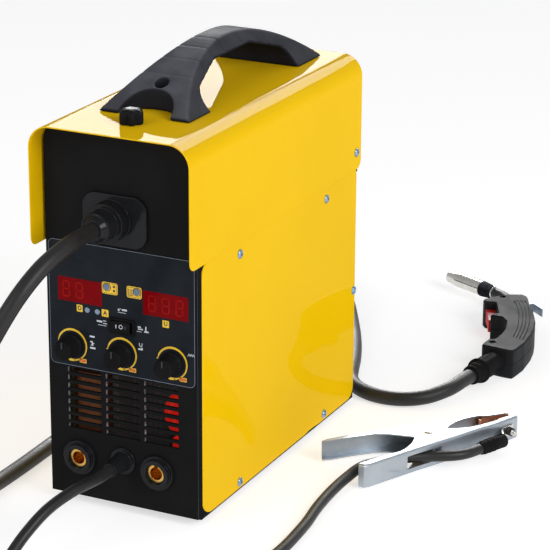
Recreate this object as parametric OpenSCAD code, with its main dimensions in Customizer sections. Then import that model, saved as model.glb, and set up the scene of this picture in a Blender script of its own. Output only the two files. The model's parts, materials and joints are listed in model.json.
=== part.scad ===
// Portable MIG welding machine with its torch and earth clamp.
// The origin is on the floor under the centre of the case, +Z up, front towards -Y.

/* [Case] */
// Width across the lower side panels
case_width = 162; // [150:1:200]
// Depth from front panel to rear panel
case_depth = 358; // [340:1:430]
// Height from the underside of the base tray to the top of the hood
case_height = 380; // [370:1:460]
// Thickness of hood and side panel steel
sheet = 1.2; // [0.8:0.1:1.6]
// Thickness of base tray, deck and rear panel steel
plate = 1.5; // [1:0.1:2]
// Height of the seam under the hood, above the base
seam_height = 255; // [240:1:262]
// Gap at each side between side panel and hood skirt
hood_gap = 2.8; // [2.4:0.1:4]
// How far the hood stands out in front of the front panel
hood_overhang = 21; // [10:1:35]
// Outer bend radius of the hood
hood_radius = 22; // [14:1:26]
// Height of the turned-up edges of the base tray
tray_edge = 16; // [13:1:20]

/* [Feet] */
// Height of the rubber feet
foot_height = 5; // [4:0.5:12]
// Diameter of the rubber feet
foot_diameter = 18; // [14:1:24]
// Distance of a foot's centre from the case edges
foot_inset = 26; // [20:1:40]

/* [Front panel] */
// Wall of the front moulding
front_wall = 3; // [2.4:0.1:4]
// Depth of the edges turned back at the sides
front_return = 8.6; // [6:0.2:12]
// Gap from the base to the lower edge of the front moulding
front_lift = 3.7; // [2:0.1:6]

/* [Control label] */
// Width of the control label
label_width = 158; // [150:1:158]
// Height of the control label
label_height = 127; // [120:1:130]
// Height of the label's lower edge above the base
label_bottom = 138; // [136:1:140]
// Thickness of the label
label_sheet = 0.5; // [0.3:0.1:0.8]
// Width of a display window
display_width = 48; // [40:1:50]
// Height of a display window
display_height = 24; // [18:1:26]
// Height of the display centres above the base
display_level = 216; // [214:0.5:220]
// Diameter of a push button
button_diameter = 6.5; // [5:0.1:8]
// Travel of a push button
button_travel = 1; // [0.6:0.1:1.2]
// Height of the push buttons above the base
button_level = 225; // [223:0.5:228]
// Diameter of a status light
light_diameter = 5.4; // [4:0.1:6]
// Height of the status lights above the base
light_level = 198; // [196:0.5:200]

/* [Mode switch] */
// Width of the mode switch bezel
switch_width = 27.3; // [24:0.1:30]
// Height of the mode switch bezel
switch_height = 15.5; // [14:0.1:17]
// Height of the mode switch centre above the base
switch_level = 188; // [186:0.5:190]

/* [Dials] */
// Diameter of a dial knob's skirt
dial_diameter = 24; // [18:0.5:29]
// Length of a dial knob
dial_length = 19.5; // [15:0.5:24]
// Distance between dial centres
dial_pitch = 54.2; // [50:0.1:55]
// Height of the dial centres above the base
dial_level = 160; // [158:0.5:163]
// Diameter of the dial shafts
shaft_diameter = 6; // [5:0.5:6.5]

/* [Vents] */
// Width of a vent slot
slot_width = 36.5; // [30:0.5:38]
// Height of a vent slot
slot_height = 5; // [3.5:0.1:6]
// Distance between vent slots
slot_pitch = 8.3; // [7.5:0.1:8.6]
// Height of the lowest slot's centre above the base
vent_level = 76; // [74:0.5:77]
// Distance between the three vent columns
vent_pitch = 41.8; // [40:0.1:44]

/* [Sockets and glands] */
// Bore of a welding socket
socket_bore = 13; // [9:0.5:15.5]
// Outer diameter of the brass insert
socket_brass = 18; // [17.5:0.1:21]
// Diameter of the insulating ring
socket_ring = 35; // [30:0.5:38]
// Height of the sockets above the base
socket_level = 45; // [42:0.5:46]
// Height of the earth lead gland above the base
earth_level = 50; // [46:0.5:54]

/* [Leads] */
// Diameter of the torch lead
torch_lead_d = 16; // [13:0.5:18]
// Diameter of the earth lead
earth_lead_d = 11; // [9:0.5:12]

/* [Handle] */
// Height of the handle above the hood
handle_rise = 50.8; // [46:0.2:62]
// Length of the handle
handle_length = 287.6; // [270:0.2:300]
// Width across the feet of the handle
handle_foot_width = 98; // [86:1:110]
// Width of the top of the grip
grip_width = 23.6; // [18:0.2:30]
// Thickness of the grip at its crest
grip_thickness = 15.8; // [13:0.2:18]

/* [Lock knob] */
// Diameter over the lobes of the lock knob
knob_diameter = 25; // [20:0.5:29]
// Height of the lock knob
knob_height = 14.5; // [11:0.5:18]
// Diameter of the lock knob's stud
stud_diameter = 6; // [5:0.5:8]

/* [Wire feed] */
// Height of the welding wire above the base
wire_level = 293; // [291:1:300]
// Diameter of the wire spool
spool_diameter = 100; // [80:1:106]
// Width of the wire spool
spool_width = 45; // [38:1:50]
// Diameter of the drive roll
drive_roll_d = 30; // [24:1:36]
// Diameter of the pressure roll
pressure_roll_d = 22; // [18:1:26]
// Diameter of the welding wire
wire_d = 0.8; // [0.6:0.1:1.2]

/* [Fan] */
// Width of the square fan frame
fan_size = 92; // [80:1:92]
// Depth of the fan frame
fan_depth = 25; // [20:1:32]

/* [Torch] */
// Thickness of the torch handle
torch_thickness = 34; // [30:1:40]
// Diameter of the torch neck
neck_diameter = 12.6; // [11:0.1:14]
// Outer diameter of the gas nozzle
nozzle_diameter = 18; // [16:0.2:21]
// Length of the gas nozzle
nozzle_length = 56.6; // [50:0.2:66]

/* [Earth clamp] */
// Width over the outer lever of the clamp
clamp_width = 25.4; // [24:0.2:32]
// Thickness of the clamp's steel
clamp_sheet = 1.5; // [1:0.1:1.8]
// Diameter of the clamp's rivet
rivet_diameter = 6; // [5:0.5:7]

/* [Hidden] */

$fn = 48;
fit = 0.05;              // radial clearance of a running fit
loose = 0.2;             // clearance of parts dropped into holes
eps = 1;                 // overcut of a subtracted shape

base_z = foot_height;
top_z = base_z + case_height;
roof_z = top_z - sheet;
seam_z = base_z + seam_height;
front_y = -case_depth / 2;
rear_y = case_depth / 2;
side_x = case_width / 2;
inner_x = side_x - sheet;
flange_x = inner_x - plate;
skirt_x = side_x + hood_gap;
hood_x = skirt_x + sheet;
panel_back_y = front_y + front_wall;
return_y = front_y + front_return;
rear_in_y = rear_y - plate;

// screws
screw_d = 4.8;
screw_head_d = 9.5;
screw_head_h = 2.4;
screw_hole_d = screw_d + 2 * loose;
panel_top_z = seam_z - 1;
screw_top_z = panel_top_z - 8;
screw_low_z = base_z + 9;
screw_front_y = front_y + 87;
screw_rear_y = rear_y - 76;
screw_edge_y = rear_y - 4.6;
screw_edge_z = base_z + 124.5;
pivot_y = rear_y - 12;
pivot_z = seam_z + 24;
arch_y = rear_y - 105.6;

// control positions, from the label's own layout
label_z = base_z + label_bottom;
display_xs = [-44.7, 47.7];
button_xs = [-15.2, 17.2];
light_xs = [-36.9, -25.9];
switch_x = 1.1;
board_y = panel_back_y + 12;
label_y = front_y - label_sheet;

// sockets and glands
socket_xs = [-48, 37.5];
socket_z = base_z + socket_level;
insulator_body_d = socket_brass + 6;
insulator_out = 8;
insert_front_y = front_y - 4;
socket_depth = 22;
gland_x = -7;
gland_z = base_z + wire_level;
gland_plate = [68, 50, 4];
gland_plate_shift = 3;
gland_length = 40;
earth_z = base_z + earth_level;
earth_gland_length = 28;

// handle
handle_front_y = front_y + 47.2;
handle_rear_y = handle_front_y + handle_length;
crest_radius = 240;
crest_y = handle_front_y + handle_length / 2;
crest_z = top_z + handle_rise;
knob_y = front_y + 24.5;
knob_cut_r = knob_diameter / 2 + 14.5;
handle_screw_ys = [handle_front_y + 36.8, handle_rear_y - 28];

// wire feed, all on the wire's line x = gland_x
wire_z = gland_z;
deck_z = seam_z - 1;
feed_y = -60;
drive_z = wire_z - drive_roll_d / 2 - 0.1;
press_z = wire_z + pressure_roll_d / 2 + wire_d / 2 + 0.15;
plate_x = gland_x + 10;
feed_plate_t = 6;
roll_width = 12;
arm_pivot = [feed_y + 26, press_z + 6];
spool_y = 95;
spool_z = deck_z + plate + spool_diameter / 2 + 9;
hub_d = 15.6;
bracket_x = gland_x + spool_width / 2 + 8;
tension_y = feed_y - 28;
tension_x = gland_x - 16;
tension_stud_d = 4;

// fan
fan_x = 18;
fan_z = base_z + plate + fan_size / 2 + 22;

// torch on the floor
torch_at = [169, 421];
torch_turn = 26;
torch_mid_z = torch_thickness / 2;
nozzle_angle = 39.5;
collar_length = 16.6;
neck_bend_r = 50;
neck_top = 86.6;
neck_x = 8.1;
neck_straight = 11.2;
neck_centre = [neck_x - neck_bend_r, neck_top];
elbow_end = neck_centre + neck_bend_r * [cos(nozzle_angle), sin(nozzle_angle)];
nozzle_dir = [-sin(nozzle_angle), cos(nozzle_angle)];
collar_start = elbow_end + neck_straight * nozzle_dir;
nozzle_start = collar_start + collar_length * nozzle_dir;
boot_start = [-27, -100.85];
boot_angle = 145.7;
boot_length = 52;
trigger_pin = [-8.5, 45.5];
trigger_width = 15;
pin_d = 3;

// clamp on the floor
clamp_at = [210, 80];
clamp_turn = 26;
clamp_rivet_head = 1.5;
clamp_mid_z = clamp_width / 2 + clamp_rivet_head;
upper_half = clamp_width / 2 - clamp_sheet - 0.5;

// ---- shared shapes ----

module rod_x(d, x0, x1) {
    translate([x0, 0, 0]) rotate([0, 90, 0]) cylinder(d = d, h = x1 - x0);
}

module rod_y(d, y0, y1) {
    translate([0, y1, 0]) rotate([90, 0, 0]) cylinder(d = d, h = y1 - y0);
}

module cone_y(d0, d1, y0, y1) {
    translate([0, y0, 0]) rotate([-90, 0, 0]) cylinder(d1 = d0, d2 = d1, h = y1 - y0);
}

module block(x0, x1, y0, y1, z0, z1) {
    translate([x0, y0, z0]) cube([x1 - x0, y1 - y0, z1 - z0]);
}

// rectangle with round corners, centred, corner radius r
module rounded(w, h, r) {
    square([w - 2 * r, h], center = true);
    square([w, h - 2 * r], center = true);
    for (sx = [-1, 1], sy = [-1, 1])
        translate([sx * (w / 2 - r), sy * (h / 2 - r)]) circle(r);
}

// extrusion along +Y of a shape drawn in X and Z
module along_y(y0, y1) {
    translate([0, y1, 0]) rotate([90, 0, 0]) linear_extrude(y1 - y0) children();
}

// extrusion along X of a shape drawn in Y and Z
module along_x(x0, x1) {
    translate([x0, 0, 0]) rotate([90, 0, 90]) linear_extrude(x1 - x0) children();
}

// cross-section with round top corners, from z0 to z1, half width hw
module arched_section(hw, z0, z1, r) {
    translate([-hw, z0]) square([2 * hw, z1 - r - z0]);
    translate([-hw + r, z0]) square([2 * (hw - r), z1 - z0]);
    for (s = [-1, 1]) translate([s * (hw - r), z1 - r]) circle(r);
}

function unit(v) = v / norm(v);

// outline of a bent strip of thickness t along a path of flat points
function strip_normal(p, i) =
    let (a = p[max(i - 1, 0)], b = p[min(i + 1, len(p) - 1)], d = unit(b - a)) [-d[1], d[0]];
function strip_outline(p, t) = concat(
    [for (i = [0 : len(p) - 1]) p[i] + strip_normal(p, i) * t / 2],
    [for (i = [len(p) - 1 : -1 : 0]) p[i] - strip_normal(p, i) * t / 2]);

module strip(p, t, width) {
    translate([0, 0, -width / 2]) linear_extrude(width) polygon(strip_outline(p, t));
}

// ---- leads ----

function turn2(p, a) = [p[0] * cos(a) - p[1] * sin(a), p[0] * sin(a) + p[1] * cos(a)];
function on_torch(p) = let (q = turn2(p, torch_turn)) [torch_at[0] + q[0], torch_at[1] + q[1]];
function on_clamp(p) = let (q = turn2(p, clamp_turn)) [clamp_at[0] + q[0], clamp_at[1] + q[1]];

// smooth curve through p[1] .. p[n-2], n steps a span
function curve_point(a, b, c, d, t) =
    0.5 * ((2 * b) + (c - a) * t + (2 * a - 5 * b + 4 * c - d) * t * t
        + (3 * b - a - 3 * c + d) * t * t * t);
// its first and last steps stay straight, and the curve leaves and meets them in line
function before(p, i) = i > 1 ? p[i - 1]
    : p[i + 1] - 2 * norm(p[i + 1] - p[i]) * unit(p[1] - p[0]);
function after(p, i) = i < len(p) - 3 ? p[i + 2]
    : p[i] + 2 * norm(p[i + 1] - p[i]) * unit(p[i + 2] - p[i + 1]);
function smooth(p, n) = concat([p[0]],
    [for (i = [1 : len(p) - 3], k = [0 : n - 1])
        curve_point(before(p, i), p[i], p[i + 1], after(p, i), k / n)],
    [p[len(p) - 2], p[len(p) - 1]]);

function tangent(p, i) = unit(p[min(i + 1, len(p) - 1)] - p[max(i - 1, 0)]);
function carried(n, t) = unit(n - (n * t) * t);
function frames(p) = [for (i = 0, n = unit(cross(tangent(p, 0), [0, 0, 1])); i < len(p);
    i = i + 1, n = i < len(p) ? carried(n, tangent(p, i)) : n) n];

module tube(p, d, sides) {
    n = frames(p);
    count = len(p);
    rings = [for (i = [0 : count - 1], k = [0 : sides - 1])
        let (t = tangent(p, i), b = cross(t, n[i]), a = 360 * (k + 0.5) / sides)
            p[i] + d / 2 * (cos(a) * n[i] + sin(a) * b)];
    walls = [for (i = [0 : count - 2], k = [0 : sides - 1])
        let (q = i * sides, k1 = (k + 1) % sides)
            each [[q + k, q + k1, q + sides + k], [q + k1, q + sides + k1, q + sides + k]]];
    ends = [for (k = [1 : sides - 2])
        each [[0, k + 1, k], [(count - 1) * sides, (count - 1) * sides + k,
            (count - 1) * sides + k + 1]]];
    polyhedron(points = rings, faces = [for (f = concat(walls, ends)) [f[0], f[2], f[1]]]);
}

function path_length(p) = len(p) < 2 ? 0
    : [for (i = 0, s = 0; i < len(p); i = i + 1,
        s = i < len(p) ? s + norm(p[i] - p[i - 1]) : s) s][len(p) - 1];

// piled coil: c centre, r outer radius, a0 start angle, turns (signed), in two layers
coil_rings = 24;
function coil_climb(u) = max(0, min(1, 2 * u + 0.5));
function coil_point(c, r, a0, turns, d, step, t) =
    let (n = abs(turns), s = t - n / 2, rr = r - step * (n / 2 - abs(s)),
        a = a0 + sign(turns) * 360 * t)
        [c[0] + rr * cos(a), c[1] + rr * sin(a), d / 2 + (d + 0.6) * coil_climb(s)];
function coil_body(c, r, a0, turns, d, step) =
    let (m = round(abs(turns) * coil_rings))
        [for (i = [0 : m]) coil_point(c, r, a0, turns, d, step, abs(turns) * i / m)];
function flat_dir(a, s) = [-s * sin(a), s * cos(a), 0];
function coil_in(c, r, a0, turns, d, step) =
    coil_point(c, r, a0, turns, d, step, 0) - d * flat_dir(a0, sign(turns));
function coil_out(c, r, a0, turns, d, step) =
    coil_point(c, r, a0, turns, d, step, abs(turns)) + d * flat_dir(a0 + 360 * turns, sign(turns));
function coil_path(c, r, a0, turns, d, step) = concat([coil_in(c, r, a0, turns, d, step)],
    coil_body(c, r, a0, turns, d, step), [coil_out(c, r, a0, turns, d, step)]);

// least gap of a tube to its own other turns, measured on its points
function own_gap(p, d, apart) = min([for (i = [0 : len(p) - 1], j = [i + apart : len(p) - 1])
    norm(p[i] - p[j]) - d]);

torch_coil_c = [-154, 400];
torch_coil_r = 102;
torch_coil_start = 180;
torch_coil_turns = -2.375;
torch_coil_step = 18;
torch_coil_args = [torch_coil_c, torch_coil_r, torch_coil_start, torch_coil_turns];
earth_coil_c = [36, -408];
earth_coil_r = 66;
earth_coil_start = 180;
earth_coil_turns = 3.4;
earth_coil_step = 12.4;

function torch_coil() = coil_path(torch_coil_c, torch_coil_r, torch_coil_start,
    torch_coil_turns, torch_lead_d, torch_coil_step);
function earth_coil() = coil_path(earth_coil_c, earth_coil_r, earth_coil_start,
    earth_coil_turns, earth_lead_d, earth_coil_step);

torch_r = torch_lead_d / 2;
earth_r = earth_lead_d / 2;
torch_exit = [gland_x, front_y - gland_length, gland_z];
boot_end_2d = boot_start + boot_length * [-sin(boot_angle), cos(boot_angle)];
boot_end = concat(on_torch(boot_end_2d), [torch_mid_z]);
boot_dir = concat(turn2([-sin(boot_angle), cos(boot_angle)], torch_turn), [0]);
earth_exit = [0, front_y - earth_gland_length, earth_z];
lug_boot_end = [52, -13];
lug_boot_dir = [0.743, 0.669];
clamp_end = concat(on_clamp(lug_boot_end), [clamp_mid_z]);
clamp_dir = concat(turn2(lug_boot_dir, clamp_turn), [0]);

torch_route_front = concat([torch_exit, torch_exit + [0, -torch_lead_d, 0]],
    [[-8, -262, 296], [-14, -296, 285], [-24, -324, 262], [-38, -344, 228], [-57, -358, 185],
        [-79, -361, 138], [-101, -350, 90], [-120, -320, 47], [-132, -272, 18],
        [-137, -210, 9], [-138, -110, torch_r + 0.3], [-146, 20, torch_r + 0.3],
        [-182, 150, torch_r + 0.3], [-232, 265, torch_r + 0.3]]);
torch_route_rear = [[-36, 420, 19], [-4, 366, 9], [20, 318, torch_r + 0.3],
    [38, 276, torch_r + 0.3], [49, 246, torch_r + 0.3], [60, 220, torch_r + 0.3],
    [78, 199, torch_r + 0.3], [104, 188, torch_r + 0.3], [132, 189, 9], [156, 202, 11],
    [173, 225, 15]];
earth_route_front = concat([earth_exit, earth_exit + [0, -earth_lead_d, 0]],
    [[-7, -262, 55], [-14, -298, 49], [-21, -328, 34], [-26, -357, 15.5]]);
earth_route_rear = [[122, -374, 8], [158, -296, earth_r + 0.2], [176, -215, earth_r + 0.2],
    [174, -145, earth_r + 0.2], [167, -95, earth_r + 0.4], [164.5, -56, 7], [166.5, -27, 9.5]];
clamp_route = [[-70, -60], [-50, -47.5], [-29, -38.5], [-6, -33.5], [14, -32.2],
    [30, -29]];

function torch_front() = let (k = torch_coil(), e = k[0], d = unit(k[1] - k[0]))
    smooth(concat(torch_route_front, [e - d * torch_lead_d, e]), 3);
function torch_rear() = let (k = torch_coil(), e = k[len(k) - 1],
    d = unit(e - k[len(k) - 2]))
    smooth(concat([e, e + d * torch_lead_d], torch_route_rear,
        [boot_end + boot_dir * torch_lead_d, boot_end]), 3);
function earth_front() = let (k = earth_coil(), e = k[0], d = unit(k[1] - k[0]))
    smooth(concat(earth_route_front, [e - d * earth_lead_d, e]), 3);
function earth_rear() = let (k = earth_coil(), e = k[len(k) - 1],
    d = unit(e - k[len(k) - 2]))
    smooth(concat([e, e + d * earth_lead_d], earth_route_rear,
        [for (p = clamp_route) concat(on_clamp(p), [clamp_mid_z])],
        [clamp_end - clamp_dir * earth_lead_d, clamp_end]), 3);

module torch_lead() {
    color("dimgray") {
        tube(torch_front(), torch_lead_d, 8);
        tube(torch_rear(), torch_lead_d, 8);
    }
}

module torch_lead_coil() {
    color("dimgray") tube(torch_coil(), torch_lead_d, 6);
}

module earth_lead() {
    color("dimgray") {
        tube(earth_front(), earth_lead_d, 8);
        tube(earth_rear(), earth_lead_d, 8);
    }
}

module earth_lead_coil() {
    color("dimgray") tube(earth_coil(), earth_lead_d, 6);
}

// ---- case ----

foot_stem_d = 8;
module foot_places() {
    for (sx = [-1, 1], sy = [-1, 1])
        translate([sx * (side_x - foot_inset), sy * (rear_y - foot_inset), 0]) children();
}

module rubber_feet() {
    color("black") foot_places() {
        cylinder(d = foot_diameter, h = foot_height);
        cylinder(d = foot_stem_d - 2 * loose, h = foot_height + plate + loose);
        translate([0, 0, foot_height + plate]) cylinder(d = foot_stem_d + 3, h = 2);
    }
}

// row of screw places on one side panel: [y, z]
side_screws = [[screw_front_y, screw_top_z], [screw_rear_y, screw_top_z],
    [screw_edge_y, screw_edge_z], [screw_rear_y, screw_low_z], [screw_front_y, screw_low_z]];

module side_holes(d) {
    for (p = side_screws) translate([0, p[0], p[1]]) rod_x(d, -side_x - eps, side_x + eps);
}

module base_tray() {
    color("black") difference() {
        block(-inner_x, inner_x, return_y, rear_in_y, base_z, base_z + tray_edge);
        block(-flange_x, flange_x, return_y + plate, rear_in_y - plate, base_z + plate,
            base_z + tray_edge + eps);
        foot_places() cylinder(d = foot_stem_d, h = 3 * foot_height + 20);
        side_holes(screw_hole_d);
    }
}

slot_rows = 8;
module vent_slots() {
    for (c = [-1, 0, 1], i = [0 : slot_rows - 1])
        translate([c * vent_pitch, 0, base_z + vent_level + i * slot_pitch])
            along_y(front_y - eps, panel_back_y + eps) rounded(slot_width, slot_height, 0.8);
}

// holes shared by the control label and the front panel, with the given extra size
module control_holes(extra) {
    along_y(front_y - 3 * eps, panel_back_y + eps) {
        for (x = display_xs) translate([x, base_z + display_level])
            square([display_width + extra, display_height + extra], center = true);
        for (x = button_xs) translate([x, base_z + button_level])
            circle(d = button_diameter + 2 * loose);
        for (x = light_xs) translate([x, base_z + light_level])
            circle(d = light_diameter + 2 * loose);
        translate([switch_x, base_z + switch_level])
            square([switch_width - 3 + extra, switch_height - 3 + extra], center = true);
        for (i = [-1, 0, 1]) translate([i * dial_pitch, base_z + dial_level])
            circle(d = shaft_diameter + 2 + extra);
    }
}

front_top_z = roof_z - 0.3;
ledge_z = roof_z - 3.8;
module front_panel() {
    r = hood_radius - sheet - hood_gap + 1;
    color("black") difference() {
        union() {
            difference() {
                along_y(front_y, return_y)
                    arched_section(side_x, base_z + front_lift, front_top_z, r);
                along_y(panel_back_y, return_y + eps)
                    arched_section(side_x - 2.5, base_z + front_lift + 2.5, front_top_z - 2.5,
                        r - 2.5);
            }
            block(-16, 16, panel_back_y, knob_y + 12, ledge_z - 2, ledge_z);
            for (s = [-15, 13]) block(s, s + 2, panel_back_y, knob_y, ledge_z - 20, ledge_z - 2);
        }
        vent_slots();
        control_holes(loose);
        for (x = socket_xs) translate([x, 0, socket_z])
            rod_y(insulator_body_d + 2 * loose, front_y - eps, panel_back_y + eps);
        translate([0, 0, earth_z])
            rod_y(earth_lead_d + 5 + 2 * loose, front_y - eps, panel_back_y + eps);
        translate([gland_x, 0, gland_z])
            rod_y(torch_lead_d + 8 + 2 * loose, front_y - eps, panel_back_y + eps);
        for (s = [0, 4]) translate([0, knob_y + s, ledge_z - 2 - eps])
            cylinder(d = stud_diameter + 1.4, h = 2 + 2 * eps);
    }
}

grille_r = fan_size / 2 - 5;
module rear_panel() {
    r = hood_radius - sheet - hood_gap + 1;
    rear_top_z = roof_z - 2.8;
    color("black") difference() {
        union() {
            block(-inner_x, inner_x, rear_in_y, rear_y, base_z, seam_z);
            along_y(rear_in_y, rear_y) arched_section(side_x, seam_z, rear_top_z, r);
            for (s = [-1, 1])
                block(min(s * flange_x, s * inner_x), max(s * flange_x, s * inner_x),
                    rear_in_y - 18, rear_in_y, base_z + tray_edge, pivot_z + 12);
        }
        for (s = [-1, 1]) translate([0, pivot_y, pivot_z])
            rod_x(screw_hole_d, s > 0 ? 0 : -side_x - eps, s > 0 ? side_x + eps : 0);
        side_holes(screw_hole_d);
        translate([fan_x, 0, fan_z]) for (i = [-5 : 5])
            let (h = 2 * sqrt(grille_r * grille_r - pow(i * 7.4, 2)))
                translate([i * 7.4, 0, 0]) along_y(rear_in_y - eps, rear_y + eps)
                    rounded(4.4, h, 2);
        translate([-52, 0, base_z + 60])
            rod_y(16 + 2 * loose, rear_in_y - eps, rear_y + eps);
        translate([-52, 0, base_z + 200])
            rod_y(12 + 2 * loose, rear_in_y - eps, rear_y + eps);
    }
}

module side_outline() {
    h = panel_top_z - base_z;
    y0 = return_y;
    difference() {
        translate([(y0 + rear_y) / 2, base_z + h / 2]) rounded(rear_y - y0, h, 7);
        translate([arch_y, base_z - 134]) circle(r = 136.5, $fn = 96);
    }
}

module side_panel(s) {
    color("gold") difference() {
        along_x(s > 0 ? inner_x : -side_x, s > 0 ? side_x : -inner_x) side_outline();
        side_holes(screw_hole_d);
    }
}

module side_panel_left() { side_panel(-1); }
module side_panel_right() { side_panel(1); }

// screw lying along X with its head outwards, seat at x = seat
module case_screw(s, seat, shank_d, length) {
    mirror([s > 0 ? 0 : 1, 0, 0]) {
        rod_x(shank_d, seat - length, seat);
        rod_x(screw_head_d, seat, seat + screw_head_h / 2);
        translate([seat + screw_head_h / 2, 0, 0]) rotate([0, 90, 0])
            cylinder(d1 = screw_head_d, d2 = screw_head_d * 0.6, h = screw_head_h / 2);
    }
}

module case_screws() {
    color("lightsteelblue") {
        for (s = [-1, 1], p = side_screws) translate([0, p[0], p[1]])
            case_screw(s, side_x, screw_d, sheet + plate + 4);
        for (s = [-1, 1]) translate([0, pivot_y, pivot_z]) {
            case_screw(s, hood_x + 0.1, screw_d, hood_x + 0.1 - flange_x + 3);
            mirror([s > 0 ? 0 : 1, 0, 0]) difference() {
                rod_x(screw_head_d, inner_x, skirt_x - 0.1);
                rod_x(screw_d + 2 * fit, inner_x - eps, skirt_x + eps);
            }
        }
    }
}

deck_x = side_x + hood_gap - 0.6;
module upper_deck() {
    color("silver") difference() {
        union() {
            block(-deck_x, deck_x, return_y, rear_in_y - 20, deck_z, deck_z + plate);
            block(-flange_x, flange_x, rear_in_y - 20, rear_in_y, deck_z, deck_z + plate);
            for (s = [-1, 1])
                block(min(s * flange_x, s * inner_x), max(s * flange_x, s * inner_x),
                    return_y, rear_in_y - 20, screw_top_z - 8, deck_z);
        }
        side_holes(screw_hole_d);
    }
}

module hood_side_outline() {
    y0 = front_y - hood_overhang;
    r = 9;
    translate([y0, seam_z + r]) square([rear_y - y0, top_z - seam_z - r]);
    translate([y0 + r, seam_z]) square([rear_y - y0 - 2 * r, top_z - seam_z]);
    for (y = [y0 + r, rear_y - r]) translate([y, seam_z + r]) circle(r);
}

module hood() {
    color("gold") difference() {
        intersection() {
            along_y(front_y - hood_overhang, rear_y)
                arched_section(hood_x, seam_z, top_z, hood_radius);
            along_x(-hood_x, hood_x) hood_side_outline();
        }
        along_y(front_y - hood_overhang - eps, rear_y + eps)
            arched_section(skirt_x, seam_z - eps, roof_z, hood_radius - sheet);
        translate([0, knob_y, roof_z - eps])
            cylinder(d = stud_diameter + 2 * fit, h = sheet + 2 * eps);
        for (y = handle_screw_ys) translate([0, y, roof_z - eps])
            cylinder(d = 5 + 2 * loose, h = sheet + 2 * eps);
        for (s = [-1, 1]) translate([0, pivot_y, pivot_z])
            rod_x(screw_d + 2 * fit, s > 0 ? skirt_x - eps : -hood_x - eps,
                s > 0 ? hood_x + eps : -skirt_x + eps);
    }
}

knob_lobes = 6;
module lock_knob() {
    seat = top_z + 0.3;
    hub = knob_diameter * 0.36;
    lobe = knob_diameter * 0.17;
    color("black") translate([0, knob_y, 0]) {
        translate([0, 0, seat]) linear_extrude(knob_height) {
            circle(hub);
            for (i = [0 : knob_lobes - 1]) rotate(i * 360 / knob_lobes)
                translate([knob_diameter / 2 - lobe, 0]) circle(lobe, $fn = 24);
            circle(knob_diameter / 2 - lobe);
        }
        translate([0, 0, ledge_z - 5]) cylinder(d = stud_diameter, h = seat - ledge_z + 5);
    }
}

// ---- handle ----

module handle_profile() {
    difference() {
        intersection() {
            translate([crest_y, crest_z - crest_radius]) circle(crest_radius, $fn = 160);
            translate([handle_front_y, top_z]) square([handle_length, handle_rise + eps]);
        }
        handle_arch();
    }
}

module handle_arch() {
    arch_top = crest_z - grip_thickness;
    a = handle_front_y + 44;
    b = handle_rear_y - 52;
    hull() {
        for (p = [[a + 16, top_z + 7], [a + 58, arch_top - 16], [b - 58, arch_top - 16],
            [b - 18, top_z + 7]])
            translate(p) circle(16);
        for (y = [a + 14, b - 6]) translate([y, top_z - 8]) circle(6);
    }
}

module handle() {
    slope = (handle_foot_width - grip_width) / 2 / handle_rise;
    low = handle_foot_width / 2 + slope * eps;
    color("black") difference() {
        intersection() {
            along_x(-handle_foot_width, handle_foot_width) handle_profile();
            along_y(handle_front_y, handle_rear_y)
                polygon([[-low, top_z - eps], [low, top_z - eps],
                    [grip_width / 2, crest_z], [-grip_width / 2, crest_z]]);
        }
        translate([0, handle_front_y + 1, top_z - eps]) cylinder(r = knob_cut_r, h = handle_rise);
        for (y = handle_screw_ys) translate([0, y, 0]) {
            translate([0, 0, top_z - eps]) cylinder(d = 5 + 2 * loose, h = handle_rise);
            translate([0, 0, top_z + 13]) cylinder(d = 13, h = handle_rise);
        }
    }
}

module handle_screws() {
    color("silver") for (y = handle_screw_ys) translate([0, y, 0]) {
        translate([0, 0, roof_z - 2.4]) cylinder(d = 5, h = sheet + 2.4 + 13);
        translate([0, 0, top_z + 13]) cylinder(d = 9.5, h = 3);
        translate([0, 0, roof_z - 2.4]) cylinder(d = 9, h = 2.4, $fn = 6);
    }
}

// ---- controls ----

module control_label() {
    color("midnightblue") difference() {
        translate([0, 0, label_z + label_height / 2]) along_y(label_y, front_y)
            rounded(label_width, label_height, 6);
        control_holes(loose);
    }
}

module display_windows() {
    color("firebrick") for (x = display_xs)
        block(x - display_width / 2, x + display_width / 2, label_y, panel_back_y + 1,
            base_z + display_level - display_height / 2,
            base_z + display_level + display_height / 2);
}

module status_lights() {
    color("slategray") for (x = light_xs) translate([x, 0, base_z + light_level]) {
        rod_y(light_diameter, label_y - 0.4, panel_back_y + 1);
        rod_y(light_diameter + 1.6, panel_back_y, panel_back_y + 2);
    }
}

module push_button(x) {
    color("slategray") translate([x, 0, base_z + button_level]) {
        rod_y(button_diameter, label_y - button_travel - 0.3, panel_back_y + 0.1);
        rod_y(button_diameter + 3, panel_back_y + 0.1, panel_back_y + 1.5);
        rod_y(3, panel_back_y + 1.5, board_y - 3 - button_travel - 0.3);
    }
}

module push_button_left() { push_button(button_xs[0]); }
module push_button_right() { push_button(button_xs[1]); }

rocker_w = switch_width - 6.9;
rocker_h = switch_height - 4.9;
rocker_y = label_y + 1.5;
module mode_switch_body() {
    color("black") translate([switch_x, 0, base_z + switch_level]) difference() {
        union() {
            along_y(label_y - 2, label_y) rounded(switch_width, switch_height, 1.2);
            along_y(label_y, board_y)
                square([switch_width - 3, switch_height - 3], center = true);
        }
        along_y(label_y - 3, rocker_y + 7)
            square([rocker_w + 2.4, rocker_h + 0.6], center = true);
        for (s = [-1, 1]) translate([0, rocker_y, s > 0 ? 0 : -rocker_h / 2 - 0.9])
            cylinder(d = 2.2, h = rocker_h / 2 + 0.9);
    }
}

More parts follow.
